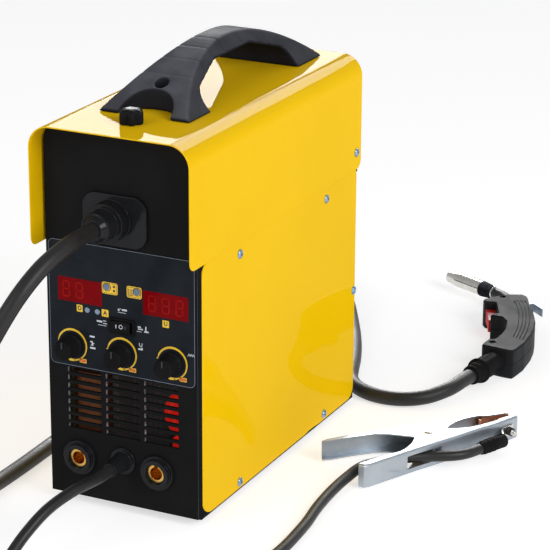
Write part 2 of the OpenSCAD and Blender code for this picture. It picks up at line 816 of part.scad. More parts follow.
module mode_rocker() {
    w = rocker_w / 2;
    color("black") translate([switch_x, 0, base_z + switch_level]) {
        translate([0, 0, -rocker_h / 2]) linear_extrude(rocker_h)
            polygon([[-w, label_y - 4.4], [0, label_y - 3], [w, label_y - 4.4],
                [w - 3.4, rocker_y + 3], [3 - w + 0.4, rocker_y + 3]]);
        translate([0, rocker_y, -rocker_h / 2 - 0.7]) cylinder(d = 2, h = rocker_h + 1.4);
    }
}

dial_back_y = label_y - 0.7;
module dial(i) {
    front = dial_back_y - dial_length;
    color("black") translate([i * dial_pitch, 0, base_z + dial_level]) difference() {
        union() {
            rod_y(dial_diameter, dial_back_y - 4, dial_back_y);
            cone_y(dial_diameter - 5, dial_diameter - 3, front, dial_back_y - 4);
            block(-0.8, 0.8, front - 0.5, dial_back_y - 4, dial_diameter / 2 - 6,
                dial_diameter / 2 - 1.5);
        }
        rod_y(shaft_diameter + 2 * fit, front + 5, dial_back_y + eps);
    }
}

module dial_left() { dial(-1); }
module dial_centre() { dial(0); }
module dial_right() { dial(1); }

module control_board() {
    color("seagreen") difference() {
        union() {
            block(-72, 72, board_y, board_y + 1.6, base_z + 146, base_z + 240);
            for (x = button_xs) translate([x, 0, base_z + button_level])
                rod_y(5, board_y - 3, board_y);
            for (i = [-1, 0, 1]) translate([i * dial_pitch, 0, base_z + dial_level]) {
                rod_y(17, panel_back_y + 3, board_y);
                rod_y(shaft_diameter + 1.4, label_y + 0.1, panel_back_y + 3);
                rod_y(shaft_diameter, dial_back_y - dial_length + 6, label_y + 0.1);
            }
            for (x = display_xs) block(x - 19, x + 19, panel_back_y + 2, board_y,
                base_z + display_level - 9.5, base_z + display_level + 9.5);
        }
    }
}

// ---- sockets and glands ----

module socket_insulators() {
    color("black") for (x = socket_xs) translate([x, 0, socket_z]) difference() {
        union() {
            rod_y(socket_ring, front_y - 4, front_y);
            rod_y(socket_ring - 6, front_y - insulator_out, front_y - 4);
            rod_y(insulator_body_d, front_y, front_y + 14);
            translate([0, 0, 0]) rod_y(socket_ring - 3, panel_back_y, panel_back_y + 4);
        }
        rod_y(socket_brass, insert_front_y, front_y + 14 + eps);
        rod_y(socket_brass + 2, front_y - insulator_out - eps, insert_front_y);
    }
}

module socket_inserts() {
    key = 2.4;
    color("goldenrod") for (i = [0, 1]) translate([socket_xs[i], 0, socket_z]) {
        difference() {
            rod_y(socket_brass, insert_front_y, front_y + 22);
            rod_y(socket_bore, insert_front_y - eps, insert_front_y + socket_depth);
            rotate([0, i == 0 ? 35 : 0, 0])
                block(-2, 2, insert_front_y - eps, insert_front_y + 14, 0,
                    socket_bore / 2 + key - 0.5);
        }
        rod_y(10, front_y + 22, front_y + 36);
    }
}

module torch_gland() {
    p = gland_plate;
    color("black") translate([gland_x, 0, gland_z]) {
        translate([gland_plate_shift, 0, 0])
            along_y(front_y - p[2], front_y) rounded(p[0], p[1], 14);
        rod_y(torch_lead_d + 23, front_y - 18, front_y - p[2]);
        rod_y(torch_lead_d + 14, front_y - 34, front_y - 18);
        cone_y(torch_lead_d + 4, torch_lead_d + 11, front_y - gland_length, front_y - 34);
        rod_y(torch_lead_d + 8, front_y, panel_back_y);
        block(-13, 13, panel_back_y, panel_back_y + 5, -16, 16);
    }
}

module earth_gland() {
    color("black") translate([0, 0, earth_z]) {
        rod_y(earth_lead_d + 16, front_y - 3, front_y);
        cone_y(earth_lead_d + 3, earth_lead_d + 9, front_y - earth_gland_length, front_y - 3);
        rod_y(earth_lead_d + 5, front_y, panel_back_y);
        rod_y(earth_lead_d + 13, panel_back_y, panel_back_y + 4);
    }
}

// ---- rear and lower bay ----

module fan_frame() {
    bore = fan_size - 6;
    color("black") translate([fan_x, 0, fan_z]) difference() {
        union() {
            along_y(rear_in_y - fan_depth, rear_in_y - fan_depth + 3) rounded(fan_size, fan_size, 5);
            along_y(rear_in_y - 3, rear_in_y) rounded(fan_size, fan_size, 5);
            rod_y(fan_size - 2, rear_in_y - fan_depth, rear_in_y);
        }
        rod_y(bore, rear_in_y - fan_depth + 4, rear_in_y + eps);
        difference() {
            rod_y(bore, rear_in_y - fan_depth - eps, rear_in_y - fan_depth + 5);
            rod_y(30, rear_in_y - fan_depth - 2 * eps, rear_in_y - fan_depth + 6);
            for (a = [45, 135]) rotate([0, a, 0])
                block(-bore, bore, rear_in_y - fan_depth - 2 * eps,
                    rear_in_y - fan_depth + 4, -2, 2);
        }
        rod_y(4, rear_in_y - fan_depth - eps, rear_in_y - fan_depth + 6);
    }
}

blade_count = 7;
module fan_rotor() {
    hub_y0 = rear_in_y - fan_depth + 5.3;
    r = fan_size / 2 - 4.2;
    color("dimgray") translate([fan_x, 0, fan_z]) {
        rod_y(34, hub_y0, rear_in_y - 2);
        rod_y(4 - 2 * fit, rear_in_y - fan_depth + 0.5, hub_y0);
        for (i = [0 : blade_count - 1]) rotate([0, i * 360 / blade_count, 0])
            translate([0, (hub_y0 + rear_in_y - 2) / 2, 14]) rotate([0, 0, 38])
                block(-9, 9, -0.7, 0.7, 0, r - 14.8);
    }
}

module mains_gland() {
    color("black") translate([-52, 0, base_z + 60]) difference() {
        union() {
            rod_y(16, rear_in_y, rear_y);
            rod_y(22, rear_y, rear_y + 5);
            cone_y(20, 13, rear_y + 5, rear_y + 16);
            rod_y(22, rear_in_y - 5, rear_in_y);
        }
        rod_y(9, rear_in_y - 5 - eps, rear_y + 16 + eps);
    }
}

module gas_valve() {
    color("goldenrod") translate([-52, 0, base_z + 200]) difference() {
        union() {
            rod_y(12, rear_in_y, rear_y);
            rod_y(14, rear_y, rear_y + 3);
            rod_y(8, rear_y + 3, rear_y + 18);
            for (k = [0 : 3]) cone_y(9.4, 8, rear_y + 5 + 3.2 * k, rear_y + 7.6 + 3.2 * k);
            block(-11, 11, rear_in_y - 24, rear_in_y, -14, 14);
            translate([0, rear_in_y - 12, 14]) cylinder(d = 20, h = 22);
        }
        rod_y(4, rear_in_y - 10, rear_y + 18 + eps);
    }
}

core_x = -44;
core_y = front_y + 38;
core_z = base_z + plate;
// the legs stand behind the washers of the front feet
leg_y = front_y + foot_inset + (foot_stem_d + 3) / 2 + 0.5;
module transformer_core() {
    color("dimgray") difference() {
        block(core_x - 26, core_x + 26, core_y - 14, core_y + 14, core_z + 52, core_z + 142);
        for (s = [-1, 1])
            block(core_x + s * 12.5 - 6.5, core_x + s * 12.5 + 6.5, core_y - 14 - eps,
                core_y + 14 + eps, core_z + 66, core_z + 128);
    }
    color("dimgray") for (s = [-1, 1])
        block(core_x + s * 20 - 4, core_x + s * 20 + 4, leg_y, leg_y + 14, core_z,
            core_z + 52);
}

module transformer_winding() {
    color("peru") translate([core_x, core_y, core_z + 66.5]) difference() {
        for (k = [0 : 14]) translate([0, 0, k * 4.1]) linear_extrude(3.6)
            rounded(37.5, 56, 9);
        translate([0, 0, -eps]) linear_extrude(63) rounded(12.4, 30, 1);
    }
    color("peru") translate([core_x, core_y, core_z + 66.5]) difference() {
        linear_extrude(61) rounded(36, 54.5, 8);
        translate([0, 0, -eps]) linear_extrude(63) rounded(12.4, 30, 1);
    }
}

choke_x = 47;
choke_y = front_y + 46;
choke_z = base_z + 89;
module choke() {
    color("crimson") translate([choke_x, choke_y, choke_z]) {
        rotate([90, 0, 0]) rotate_extrude() translate([17, 0]) circle(9);
        block(-14, 14, -8, 8, base_z + plate - choke_z, -24);
    }
}

module power_module() {
    z0 = base_z + plate;
    color("silver") for (s = [-1, 1]) translate([s * 34, 0, 0]) {
        block(-26, 26, -80, 100, z0 + 116, z0 + 122);
        for (k = [-4 : 4]) block(k * 6 - 1, k * 6 + 1, -80, 100, z0 + 30, z0 + 116);
        for (y = [-78, 92]) block(-26, 26, y, y + 6, z0, z0 + 30);
    }
    color("seagreen") block(-70, 70, -95, 120, z0 + 122, z0 + 124);
    color("dimgray") for (x = [-44, 0, 44]) translate([x, 60, z0 + 124]) cylinder(d = 34, h = 52);
    color("dimgray") for (x = [-40, 30]) block(x, x + 18, -60, -20, z0 + 124, z0 + 148);
}

// ---- wire feed bay ----

module spool_bracket() {
    z0 = deck_z + plate;
    color("silver") {
        block(bracket_x, bracket_x + 2, spool_y - 22, spool_y + 22, z0, spool_z + 14);
        block(bracket_x + 2, bracket_x + 22, spool_y - 22, spool_y + 22, z0, z0 + 2);
    }
    color("dimgray") translate([0, spool_y, spool_z]) {
        rod_x(hub_d, gland_x - spool_width / 2 - 8, bracket_x);
        rod_x(24, bracket_x - 6, bracket_x);
        rod_x(26, gland_x - spool_width / 2 - 16, gland_x - spool_width / 2 - 2);
    }
}

module wire_spool() {
    x0 = gland_x - spool_width / 2;
    x1 = gland_x + spool_width / 2;
    translate([0, spool_y, spool_z]) difference() {
        union() {
            color("dimgray") rod_x(spool_diameter, x0, x0 + 3);
            color("dimgray") rod_x(spool_diameter, x1 - 3, x1);
            color("peru") rod_x(spool_diameter - 18, x0 + 3, x1 - 3);
        }
        rod_x(hub_d + 2 * fit, x0 - eps, x1 + eps);
    }
}

module feed_plate() {
    z0 = deck_z + plate;
    color("dimgray") difference() {
        union() {
            block(plate_x, plate_x + feed_plate_t, feed_y - 40, feed_y + 40, z0, press_z + 18);
            block(plate_x, plate_x + 20, feed_y - 40, feed_y - 30, z0, z0 + 5);
            block(plate_x, plate_x + 20, feed_y + 30, feed_y + 40, z0, z0 + 5);
        }
        translate([0, feed_y, drive_z]) rod_x(7, plate_x - eps, plate_x + feed_plate_t + eps);
    }
    color("goldenrod") for (s = [-1, 1]) translate([gland_x, feed_y + s * 30, wire_z]) difference() {
        union() {
            rod_y(7, -8, 8);
            block(0, plate_x - gland_x, -5, 5, -3.4, 3.4);
        }
        rod_y(2.4, -8 - eps, 8 + eps);
    }
    color("goldenrod") translate([gland_x, 0, wire_z]) difference() {
        rod_y(14, panel_back_y + 5, feed_y - 46);
        rod_y(2.4, panel_back_y + 5 - eps, feed_y - 46 + eps);
    }
    color("dimgray") translate([arm_pivot_x0(), arm_pivot[0], arm_pivot[1]])
        rod_x(6, 0, plate_x - arm_pivot_x0());
}

function arm_pivot_x0() = gland_x - 10.5;

module gear_motor() {
    x0 = plate_x + feed_plate_t;
    color("dimgray") translate([0, feed_y, drive_z]) {
        rod_x(36, x0, x0 + 22);
        rod_x(33, x0 + 22, min(x0 + 66, flange_x - 3));
    }
    color("silver") translate([0, feed_y, drive_z]) rod_x(6, gland_x - 6, x0);
}

module drive_roll() {
    r = drive_roll_d / 2;
    color("silver") translate([gland_x, feed_y, drive_z]) difference() {
        rod_x(drive_roll_d, -roll_width / 2, roll_width / 2);
        rod_x(6 + 2 * fit, -roll_width, roll_width);
        rotate([0, 90, 0]) rotate_extrude() translate([r, 0]) circle(r = 0.7, $fn = 4);
        for (a = [0 : 60 : 300]) rotate([a, 0, 0]) translate([0, 0, r * 0.62])
            rod_x(3.4, -roll_width, roll_width);
    }
}

module pressure_arm() {
    p = arm_pivot;
    tip = [tension_y - 6, p[1] + 4];
    color("silver") difference() {
        union() {
            for (x = [gland_x - 9.5, gland_x + 6.7]) along_x(x, x + 2.6) hull() {
                translate(p) circle(6.5);
                translate([feed_y, press_z]) circle(6);
                translate([tip[0] + 12, tip[1]]) circle(4);
            }
            block(tension_x - 7, gland_x + 9.3, tip[0], tip[0] + 16, tip[1] - 3, tip[1] + 2);
        }
        translate([gland_x, p[0], p[1]]) rod_x(6 + 2 * fit, -12, 12);
        translate([tension_x, tension_y, tip[1] - 3 - eps])
            cylinder(d = tension_stud_d + 2 * fit, h = 5 + 2 * eps);
    }
    color("silver") translate([gland_x, feed_y, press_z]) rod_x(4, -6.9, 6.7);
}

module pressure_roll() {
    color("silver") translate([gland_x, feed_y, press_z]) difference() {
        rod_x(pressure_roll_d, -5.5, 5.5);
        rod_x(4 + 2 * fit, -6, 6);
    }
}

module tension_knob() {
    seat = arm_pivot[1] + 4 + 2.3;
    color("black") translate([tension_x, tension_y, 0]) {
        translate([0, 0, seat - 14]) cylinder(d = tension_stud_d, h = 14);
        translate([0, 0, seat - 14]) cylinder(d = 7, h = 5);
        translate([0, 0, seat]) cylinder(d = 9, h = 6);
        translate([0, 0, seat + 6]) cylinder(d = 17, h = 18);
    }
}

// ---- torch ----

module torch_place() {
    translate([torch_at[0], torch_at[1], torch_mid_z]) rotate([0, 0, torch_turn]) children();
}

torch_outline = [[1.4, 73.5], [20, 73.5], [25.5, 66], [25.5, 46], [27.4, 19], [26.7, -15],
    [23.4, -37], [17.8, -59.5], [7.7, -86.3], [-3, -105], [-7.5, -111.5], [-14.7, -108.7],
    [-39.3, -93], [-40.5, -89.5], [-31.5, -73.4], [-24.8, -74], [-17, -59.5], [-10.2, -41.6],
    [-6.9, -17], [-10.2, -3.5], [-23.7, 3.7], [-20.3, 7.7], [-13.5, 9], [-13.5, 45],
    [-25.5, 48], [-27.7, 55.8], [-23.7, 59.2]];
screw_recesses = [[-3.6, 65], [-27.9, -84]];

module torch_half(s) {
    half = torch_thickness / 2;
    color("black") torch_place() difference() {
        union() {
            translate([0, 0, s > 0 ? 0 : -half + 3]) linear_extrude(half - 3)
                polygon(torch_outline);
            translate([0, 0, s > 0 ? half - 3 : -half]) linear_extrude(3) intersection() {
                polygon(torch_outline);
                translate([-2.4, 0]) polygon(torch_outline);
                translate([2.4, 0]) polygon(torch_outline);
            }
        }
        translate([-13.5 - eps, 8, -trigger_width / 2 - 0.2])
            cube([9.5 + eps, 44, trigger_width + 0.4]);
        translate([trigger_pin[0], trigger_pin[1], -10]) cylinder(d = pin_d + 2 * fit, h = 20);
        translate([neck_x, 53, 0]) rotate([-90, 0, 0]) cylinder(d = neck_diameter, h = 30);
        translate([boot_start[0], boot_start[1], 0]) rotate([0, 0, boot_angle])
            translate([0, -8, 0]) rotate([-90, 0, 0]) cylinder(d = torch_lead_d + 9, h = 30);
        for (p = screw_recesses) translate([p[0], p[1], s > 0 ? half - 5 : -half - eps])
            cylinder(d = 8, h = 5 + eps);
    }
}

module torch_handle_lower() {
    torch_half(-1);
    color("silver") torch_place() translate([trigger_pin[0], trigger_pin[1], -10])
        cylinder(d = pin_d, h = 20);
}

module torch_handle_upper() { torch_half(1); }

module torch_trigger() {
    ribs = 9;
    color("firebrick") torch_place() difference() {
        translate([0, 0, -trigger_width / 2]) linear_extrude(trigger_width)
            polygon(concat([[-4.8, 50], [-13.2, 50], [-14.4, 44.7], [-24.6, 47.2]],
                [for (i = [0 : 2 * ribs]) [(i % 2 == 0 ? -24.2 : -25.2)
                    + 0.9 * sin(180 * i / (2 * ribs)), 42 - 31 * i / (2 * ribs)]],
                [[-15, 12], [-10, 14], [-9.2, 36], [-4.8, 42]]));
        translate([trigger_pin[0], trigger_pin[1], -trigger_width])
            cylinder(d = pin_d + 0.16, h = 2 * trigger_width);
    }
}

module torch_neck() {
    color("black") torch_place() {
        translate([neck_x, 53, 0]) rotate([-90, 0, 0])
            cylinder(d = neck_diameter, h = neck_top - 53);
        translate(neck_centre) rotate_extrude(angle = nozzle_angle)
            translate([neck_bend_r, 0]) circle(d = neck_diameter);
        translate(elbow_end) rotate([0, 0, nozzle_angle]) rotate([-90, 0, 0])
            cylinder(d = neck_diameter, h = neck_straight);
        translate(collar_start) rotate([0, 0, nozzle_angle]) rotate([-90, 0, 0])
            cylinder(d1 = nozzle_diameter - 1.6, d2 = nozzle_diameter + 0.8, h = collar_length);
    }
}

module torch_nozzle() {
    r = nozzle_diameter / 2;
    tip = nozzle_length - 17;
    color("silver") torch_place() translate(nozzle_start) rotate([0, 0, nozzle_angle])
        rotate([-90, 0, 0]) rotate_extrude()
            polygon([[r - 1.4, 0], [r, 0], [r, 6.5], [r - 0.5, 7], [r - 0.5, 7.6], [r, 8.1],
                [r, 13.5], [r - 0.5, 14], [r - 0.5, 14.6], [r, 15.1], [r, tip],
                [r - 2.1, nozzle_length], [r - 3.2, nozzle_length], [r - 3, tip],
                [r - 1.4, tip - 6]]);
}

module torch_contact_tip() {
    color("peru") torch_place() translate(nozzle_start) rotate([0, 0, nozzle_angle])
        rotate([-90, 0, 0]) difference() {
            union() {
                cylinder(d = 10, h = 24);
                translate([0, 0, 24]) cylinder(d = 6, h = nozzle_length - 27);
            }
            cylinder(d = 1.2, h = nozzle_length);
        }
}

hook_path = [[26.25, 50], [26.25, 66], [28.3, 72], [31.5, 75], [34.8, 72.8], [38, 66], [42.4, 56]];
module torch_hook() {
    color("silver") torch_place() {
        strip(hook_path, 1.5, 10);
        translate([27, 58, 0]) rod_x(7, 0, 2.2);
    }
}

module torch_boot() {
    d = torch_lead_d + 9;
    color("black") torch_place() translate([boot_start[0], boot_start[1], 0])
        rotate([0, 0, boot_angle]) rotate([-90, 0, 0]) {
            translate([0, 0, -8]) cylinder(d = d, h = 42);
            translate([0, 0, 33]) cylinder(d = d + 3.6, h = 2);
            translate([0, 0, 34]) cylinder(d1 = d - 1, d2 = torch_lead_d + 5,
                h = boot_length - 34);
        }
}

// ---- earth clamp ----

module clamp_place() {
    translate([clamp_at[0], clamp_at[1], clamp_mid_z]) rotate([0, 0, clamp_turn]) children();
}

upper_edge = [[86.1, 63.9], [80.4, 64.6], [58.8, 56.7], [37.3, 47.4], [8.6, 35.9],
    [-20.1, 25.1], [-53.1, 11.5], [-104.8, -12.9], [-109.5, -17.5]];
upper_under = [[-108.3, -21.5], [-99, -18.7], [-77.5, -9.3], [-56, -1.4], [-41.6, -0.7],
    [-28.7, -3.6], [-14.3, -7.6], [-6.5, -11.4], [0, -12.6], [7, -10.8], [12, -5],
    [15.5, 5], [17.5, 12], [23, 23], [30.1, 32.3], [40.2, 40.9], [53.1, 48.1], [66, 49.5],
    [86.1, 57]];
lower_edge = [[94.7, 44.5], [71.8, 23.7], [51.7, 8.6], [30.1, -9.3], [8.6, -25.8],
    [-14.3, -43], [-34.4, -59.6], [-63.1, -83.2], [-68.9, -85.4], [-74.2, -82.5]];
lower_upper = [[-73, -80], [-51.7, -64], [-31.6, -50], [-25.8, -43.8], [-18.7, -29.4],
    [-15, -15], [-13, -3.6], [-7.6, 7.5], [0, 11.4], [8.6, 11.6], [17.2, 10.3], [28.7, 9.6],
    [41.6, 12.9], [51.7, 17.9], [64.6, 26.5], [72, 31.5], [73.9, 35.2], [90.4, 47.4]];

module clamp_cheeks(outline, half, t) {
    for (z = [-half, half - t]) translate([0, 0, z]) linear_extrude(t) polygon(outline);
}

module clamp_lower_lever() {
    half = clamp_width / 2;
    inside = [for (i = [0 : len(lower_edge) - 1])
        lower_edge[i] - strip_normal(lower_edge, i) * clamp_sheet];
    color("lightsteelblue") clamp_place() difference() {
        union() {
            clamp_cheeks(concat(lower_edge, lower_upper), half, clamp_sheet);
            translate([0, 0, -half]) linear_extrude(2 * half)
                polygon(concat(lower_edge, [for (i = [len(inside) - 1 : -1 : 0]) inside[i]]));
        }
        cylinder(d = rivet_diameter, h = 3 * half, center = true);
        translate([-24, -60, -earth_lead_d / 2 - 1.5]) cube([36, 60, earth_lead_d + 3]);
        lower_bolt_place() cylinder(d = 6 + 2 * loose, h = 20, center = true);
    }
}

module clamp_upper_lever() {
    half = upper_half;
    inside = [for (i = [0 : len(upper_edge) - 1])
        upper_edge[i] + strip_normal(upper_edge, i) * clamp_sheet];
    color("lightsteelblue") clamp_place() difference() {
        union() {
            clamp_cheeks(concat(upper_edge, upper_under), half, clamp_sheet);
            translate([0, 0, -half]) linear_extrude(2 * half)
                polygon(concat(upper_edge, [for (i = [len(inside) - 1 : -1 : 0]) inside[i]]));
        }
        cylinder(d = rivet_diameter + 2 * fit, h = 3 * half, center = true);
        upper_bolt_place() cylinder(d = 6 + 2 * loose, h = 20, center = true);
    }
}

module clamp_pivot() {
    half = clamp_width / 2;
    color("silver") clamp_place() {
        cylinder(d = rivet_diameter, h = 2 * half, center = true);
        for (s = [-1, 1]) translate([0, 0, s * (half + clamp_rivet_head / 2)])
            cylinder(d = 10.6, h = clamp_rivet_head, center = true);
        difference() {
            cylinder(d = 15, h = 2 * (upper_half - clamp_sheet) - 1, center = true);
            cylinder(d = rivet_diameter + 1, h = 2 * half, center = true);
        }
    }
}

// bolts stand square to the levers' outer edges; local +Z points outwards
module upper_bolt_place() {
    translate([69.4, 60.6, 0]) rotate([0, 0, 20.1]) rotate([-90, 0, 0]) children();
}

module lower_bolt_place() {
    translate([84.1, 34.9, 0]) rotate([0, 0, 222.3]) rotate([-90, 0, 0]) children();
}

module clamp_bolt(back, length) {
    translate([0, 0, -back]) cylinder(d = 6, h = length);
    cylinder(d = 10, h = 4, $fn = 6);
    translate([0, 0, -back - 3]) cylinder(d = 9.5, h = 3);
}

upper_jaw_path = [[56, 42.5], [55.6, 48.5], [58.5, 51.4], [83, 60.4], [86.6, 58.4], [88, 50]];
lower_jaw_path = [[68, 31], [72.5, 32.4], [89, 47.4], [91.4, 49.4]];
lug_path = [[89.4, 38], [79.4, 28.9], [77.4, 24.5], [77, 18], [77, 10]];
strap_path = [[71, 26], [62, 22.4], [51.7, 17], [42, 13.2], [34, 13], [27, 17.5], [23.5, 25]];
module clamp_jaw_lower() {
    color("peru") clamp_place() {
        difference() {
            strip(lower_jaw_path, 2.4, 16);
            lower_bolt_place() cylinder(d = 6 + 2 * loose, h = 40, center = true);
        }
        strip(strap_path, 1.6, 12);
    }
    color("silver") clamp_place() difference() {
        strip(lug_path, 2, 12);
        lower_bolt_place() cylinder(d = 6 + 2 * loose, h = 40, center = true);
    }
    color("silver") clamp_place() lower_bolt_place() translate([0, 0, 2.3]) clamp_bolt(8.3, 17);
    color("black") clamp_place() {
        translate([lug_boot_end[0], lug_boot_end[1], 0])
            rotate([0, 0, atan2(lug_boot_dir[1], lug_boot_dir[0]) - 90])
                rotate([-90, 0, 0]) cylinder(d1 = earth_lead_d + 2, d2 = earth_lead_d + 4, h = 34);
    }
}

module clamp_jaw_upper() {
    color("peru") clamp_place() difference() {
        strip(upper_jaw_path, 2.4, 16);
        upper_bolt_place() cylinder(d = 6 + 2 * loose, h = 40, center = true);
    }
    color("silver") clamp_place() upper_bolt_place() translate([0, 0, 0.1]) clamp_bolt(8.2, 17);
}

echo(torch_lead_length = path_length(torch_front()) + path_length(torch_coil())
    + path_length(torch_rear()));
echo(earth_lead_length = path_length(earth_front()) + path_length(earth_coil())
    + path_length(earth_rear()));
echo(torch_coil_gap = own_gap(torch_coil(), torch_lead_d, 9));
echo(earth_coil_gap = own_gap(earth_coil(), earth_lead_d, 9));

base_tray();
rubber_feet();
front_panel();
rear_panel();
side_panel_left();
side_panel_right();
case_screws();
upper_deck();
hood();
lock_knob();
handle();
handle_screws();
control_label();
display_windows();
push_button_left();
push_button_right();
status_lights();
mode_switch_body();
mode_rocker();
dial_left();
dial_centre();
dial_right();
control_board();
socket_insulators();
socket_inserts();
torch_gland();
earth_gland();
fan_frame();
fan_rotor();
mains_gland();
gas_valve();
transformer_core();
transformer_winding();
choke();
power_module();
spool_bracket();
wire_spool();
feed_plate();
gear_motor();
drive_roll();
pressure_arm();
pressure_roll();
tension_knob();
torch_handle_lower();
torch_handle_upper();
torch_trigger();
torch_neck();
torch_nozzle();
torch_contact_tip();
torch_hook();
torch_boot();
clamp_lower_lever();
clamp_upper_lever();
clamp_pivot();
clamp_jaw_lower();
clamp_jaw_upper();
torch_lead();
torch_lead_coil();
earth_lead();
earth_lead_coil();
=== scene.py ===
import json
import math

import bmesh
import bpy
from mathutils import Matrix, Vector


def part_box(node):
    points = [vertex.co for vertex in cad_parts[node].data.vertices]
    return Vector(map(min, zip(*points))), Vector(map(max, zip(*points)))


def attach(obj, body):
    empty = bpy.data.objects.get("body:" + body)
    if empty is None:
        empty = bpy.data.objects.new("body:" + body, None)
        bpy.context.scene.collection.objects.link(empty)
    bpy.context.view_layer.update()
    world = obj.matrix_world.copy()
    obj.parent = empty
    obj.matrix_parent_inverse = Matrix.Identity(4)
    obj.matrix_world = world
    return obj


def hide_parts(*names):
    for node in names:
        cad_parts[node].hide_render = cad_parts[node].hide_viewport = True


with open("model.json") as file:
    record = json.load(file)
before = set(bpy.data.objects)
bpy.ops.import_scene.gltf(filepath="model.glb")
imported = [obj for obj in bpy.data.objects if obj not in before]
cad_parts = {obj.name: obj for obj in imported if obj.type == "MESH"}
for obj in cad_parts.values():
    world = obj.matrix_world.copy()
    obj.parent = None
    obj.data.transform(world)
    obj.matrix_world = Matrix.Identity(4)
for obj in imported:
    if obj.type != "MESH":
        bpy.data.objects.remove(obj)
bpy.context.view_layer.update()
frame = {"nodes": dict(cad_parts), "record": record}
scene = bpy.context.scene
mm = 0.001
bodyOf = {
    node: body
    for body, nodes in frame["record"]["behaviour"]["bodies"].items()
    for node in nodes
}
slotOf = {p["node"]: p["material_slot"] for p in frame["record"]["subparts"]}
print("frame loaded:", len(frame["nodes"]), "nodes")


# helpers; their sizes are in millimetres and their angles in degrees


def link(name, data):
    obj = bpy.data.objects.new(name, data)
    scene.collection.objects.link(obj)
    return obj


def asMesh(bm, name):
    mesh = bpy.data.meshes.new(name)
    bm.to_mesh(mesh)
    bm.free()
    return mesh


def worked(obj):
    # the object's shape after its modifiers
    ready = obj.evaluated_get(bpy.context.evaluated_depsgraph_get())
    bm = bmesh.new()
    bm.from_mesh(ready.to_mesh())
    ready.to_mesh_clear()
    return bm


def discard(*objects):
    for obj in objects:
        data = obj.data
        bpy.data.objects.remove(obj)
        store = bpy.data.meshes if isinstance(data, bpy.types.Mesh) else bpy.data.curves
        store.remove(data)


def place(name, data, node, slot=None):
    # rides with the node's body; slot is not used
    obj = link(name, data)
    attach(obj, bodyOf[node])
    return obj


def evenNormals(obj):
    m = obj.modifiers.new("evenNormals", "WEIGHTED_NORMAL")
    m.keep_sharp, m.weight = True, 80


def shown(bm, name, finish, node, smooth=38, slot=None, stands=False, even=True):
    bmesh.ops.recalc_face_normals(bm, faces=bm.faces)
    mesh = asMesh(bm, name)
    for p in mesh.polygons:
        p.use_smooth = True
    mesh.set_sharp_from_angle(angle=math.radians(smooth))
    mesh.materials.append(finishes[finish])
    obj = place(name, mesh, node, slot)
    if even:
        evenNormals(obj)
    if stands:
        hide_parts(node)
    return obj


def bevel(bm, geom, width, segments=2, affect="EDGES"):
    if geom:
        bmesh.ops.bevel(
            bm, geom=geom, offset=width * mm, offset_type="OFFSET", segments=segments,
            profile=0.5, affect=affect, clamp_overlap=True, material=-1,
            loop_slide=affect == "EDGES",
        )


def sharpEdges(bm, angle=35):
    limit = math.radians(angle)
    return [
        e for e in bm.edges
        if len(e.link_faces) == 2 and e.calc_face_angle(0) > limit
    ]


def merge(bm, verts=None, distance=1e-7):
    bmesh.ops.remove_doubles(bm, verts=verts or bm.verts, dist=distance)


def vertsIn(geom):
    return [v for v in geom if isinstance(v, bmesh.types.BMVert)]


def drawOut(bm, vec):
    # every face drawn out into a solid, gives the moved faces
    grown = bmesh.ops.extrude_face_region(bm, geom=bm.faces[:])["geom"]
    bmesh.ops.translate(bm, verts=vertsIn(grown), vec=[c * mm for c in vec])
    return [f for f in grown if isinstance(f, bmesh.types.BMFace)]


def inset(bm, faces, thickness, depth=0.0):
    bmesh.ops.inset_region(
        bm, faces=faces, thickness=thickness * mm, depth=depth * mm,
        use_even_offset=True, use_boundary=True,
    )


def movedTo(x, y, z):
    return Matrix.Translation((x * mm, y * mm, z * mm))


def turned(degrees, axis):
    return Matrix.Rotation(math.radians(degrees), 4, axis)


def flipped(side):
    return Matrix.Diagonal((1, 1, side, 1))


def scaled(x, y, z):
    return Matrix.Diagonal((x * mm, y * mm, z * mm, 1))


def lyingAt(x, y, turn=0.0):
    # for a shape made upright: laid down along Y, then turned
    return movedTo(x, y, 0) @ turned(turn, "Z") @ turned(-90, "X")


def pointing(degrees):
    a = math.radians(degrees)
    return Vector((-math.sin(a), math.cos(a), 0))


def onCircle(radius, degrees):
    a = math.radians(degrees)
    return radius * math.cos(a), radius * math.sin(a)


def addShape(bm, shape, where):
    bmesh.ops.transform(shape, matrix=where, verts=shape.verts)
    if where.determinant() < 0:
        bmesh.ops.reverse_faces(shape, faces=shape.faces)
    mesh = asMesh(shape, "part")
    bm.from_mesh(mesh)
    bpy.data.meshes.remove(mesh)


def joined(*pieces):
    # pairs of a shape and where it goes, made one
    bm = bmesh.new()
    for shape, where in pieces:
        addShape(bm, shape, where)
    return bm


def chain(bm, points):
    # vertices and the edges between them
    line = [bm.verts.new([c * mm for c in q]) for q in points]
    return line, [bm.edges.new(pair) for pair in zip(line, line[1:])]


def blended(a, b, c, d, t):
    # a smooth curve from b to c
    return 0.5 * (
        2 * b + (c - a) * t + (2 * a - 5 * b + 4 * c - d) * t * t
        + (3 * b - a - 3 * c + d) * t ** 3
    )


# node groups shared by the finishes


def addNode(tree, kind, at, sockets=(), **values):
    n = tree.nodes.new(kind if kind.startswith("Node") else "ShaderNode" + kind)
    n.location = at
    for key, value in values.items():
        setattr(n, key, value)
    for key, value in dict(sockets).items():
        n.inputs[key].default_value = value
    return n


def wire(tree, *wires):
    for source, out, target, into in wires:
        tree.links.new(source.outputs[out], target.inputs[into])


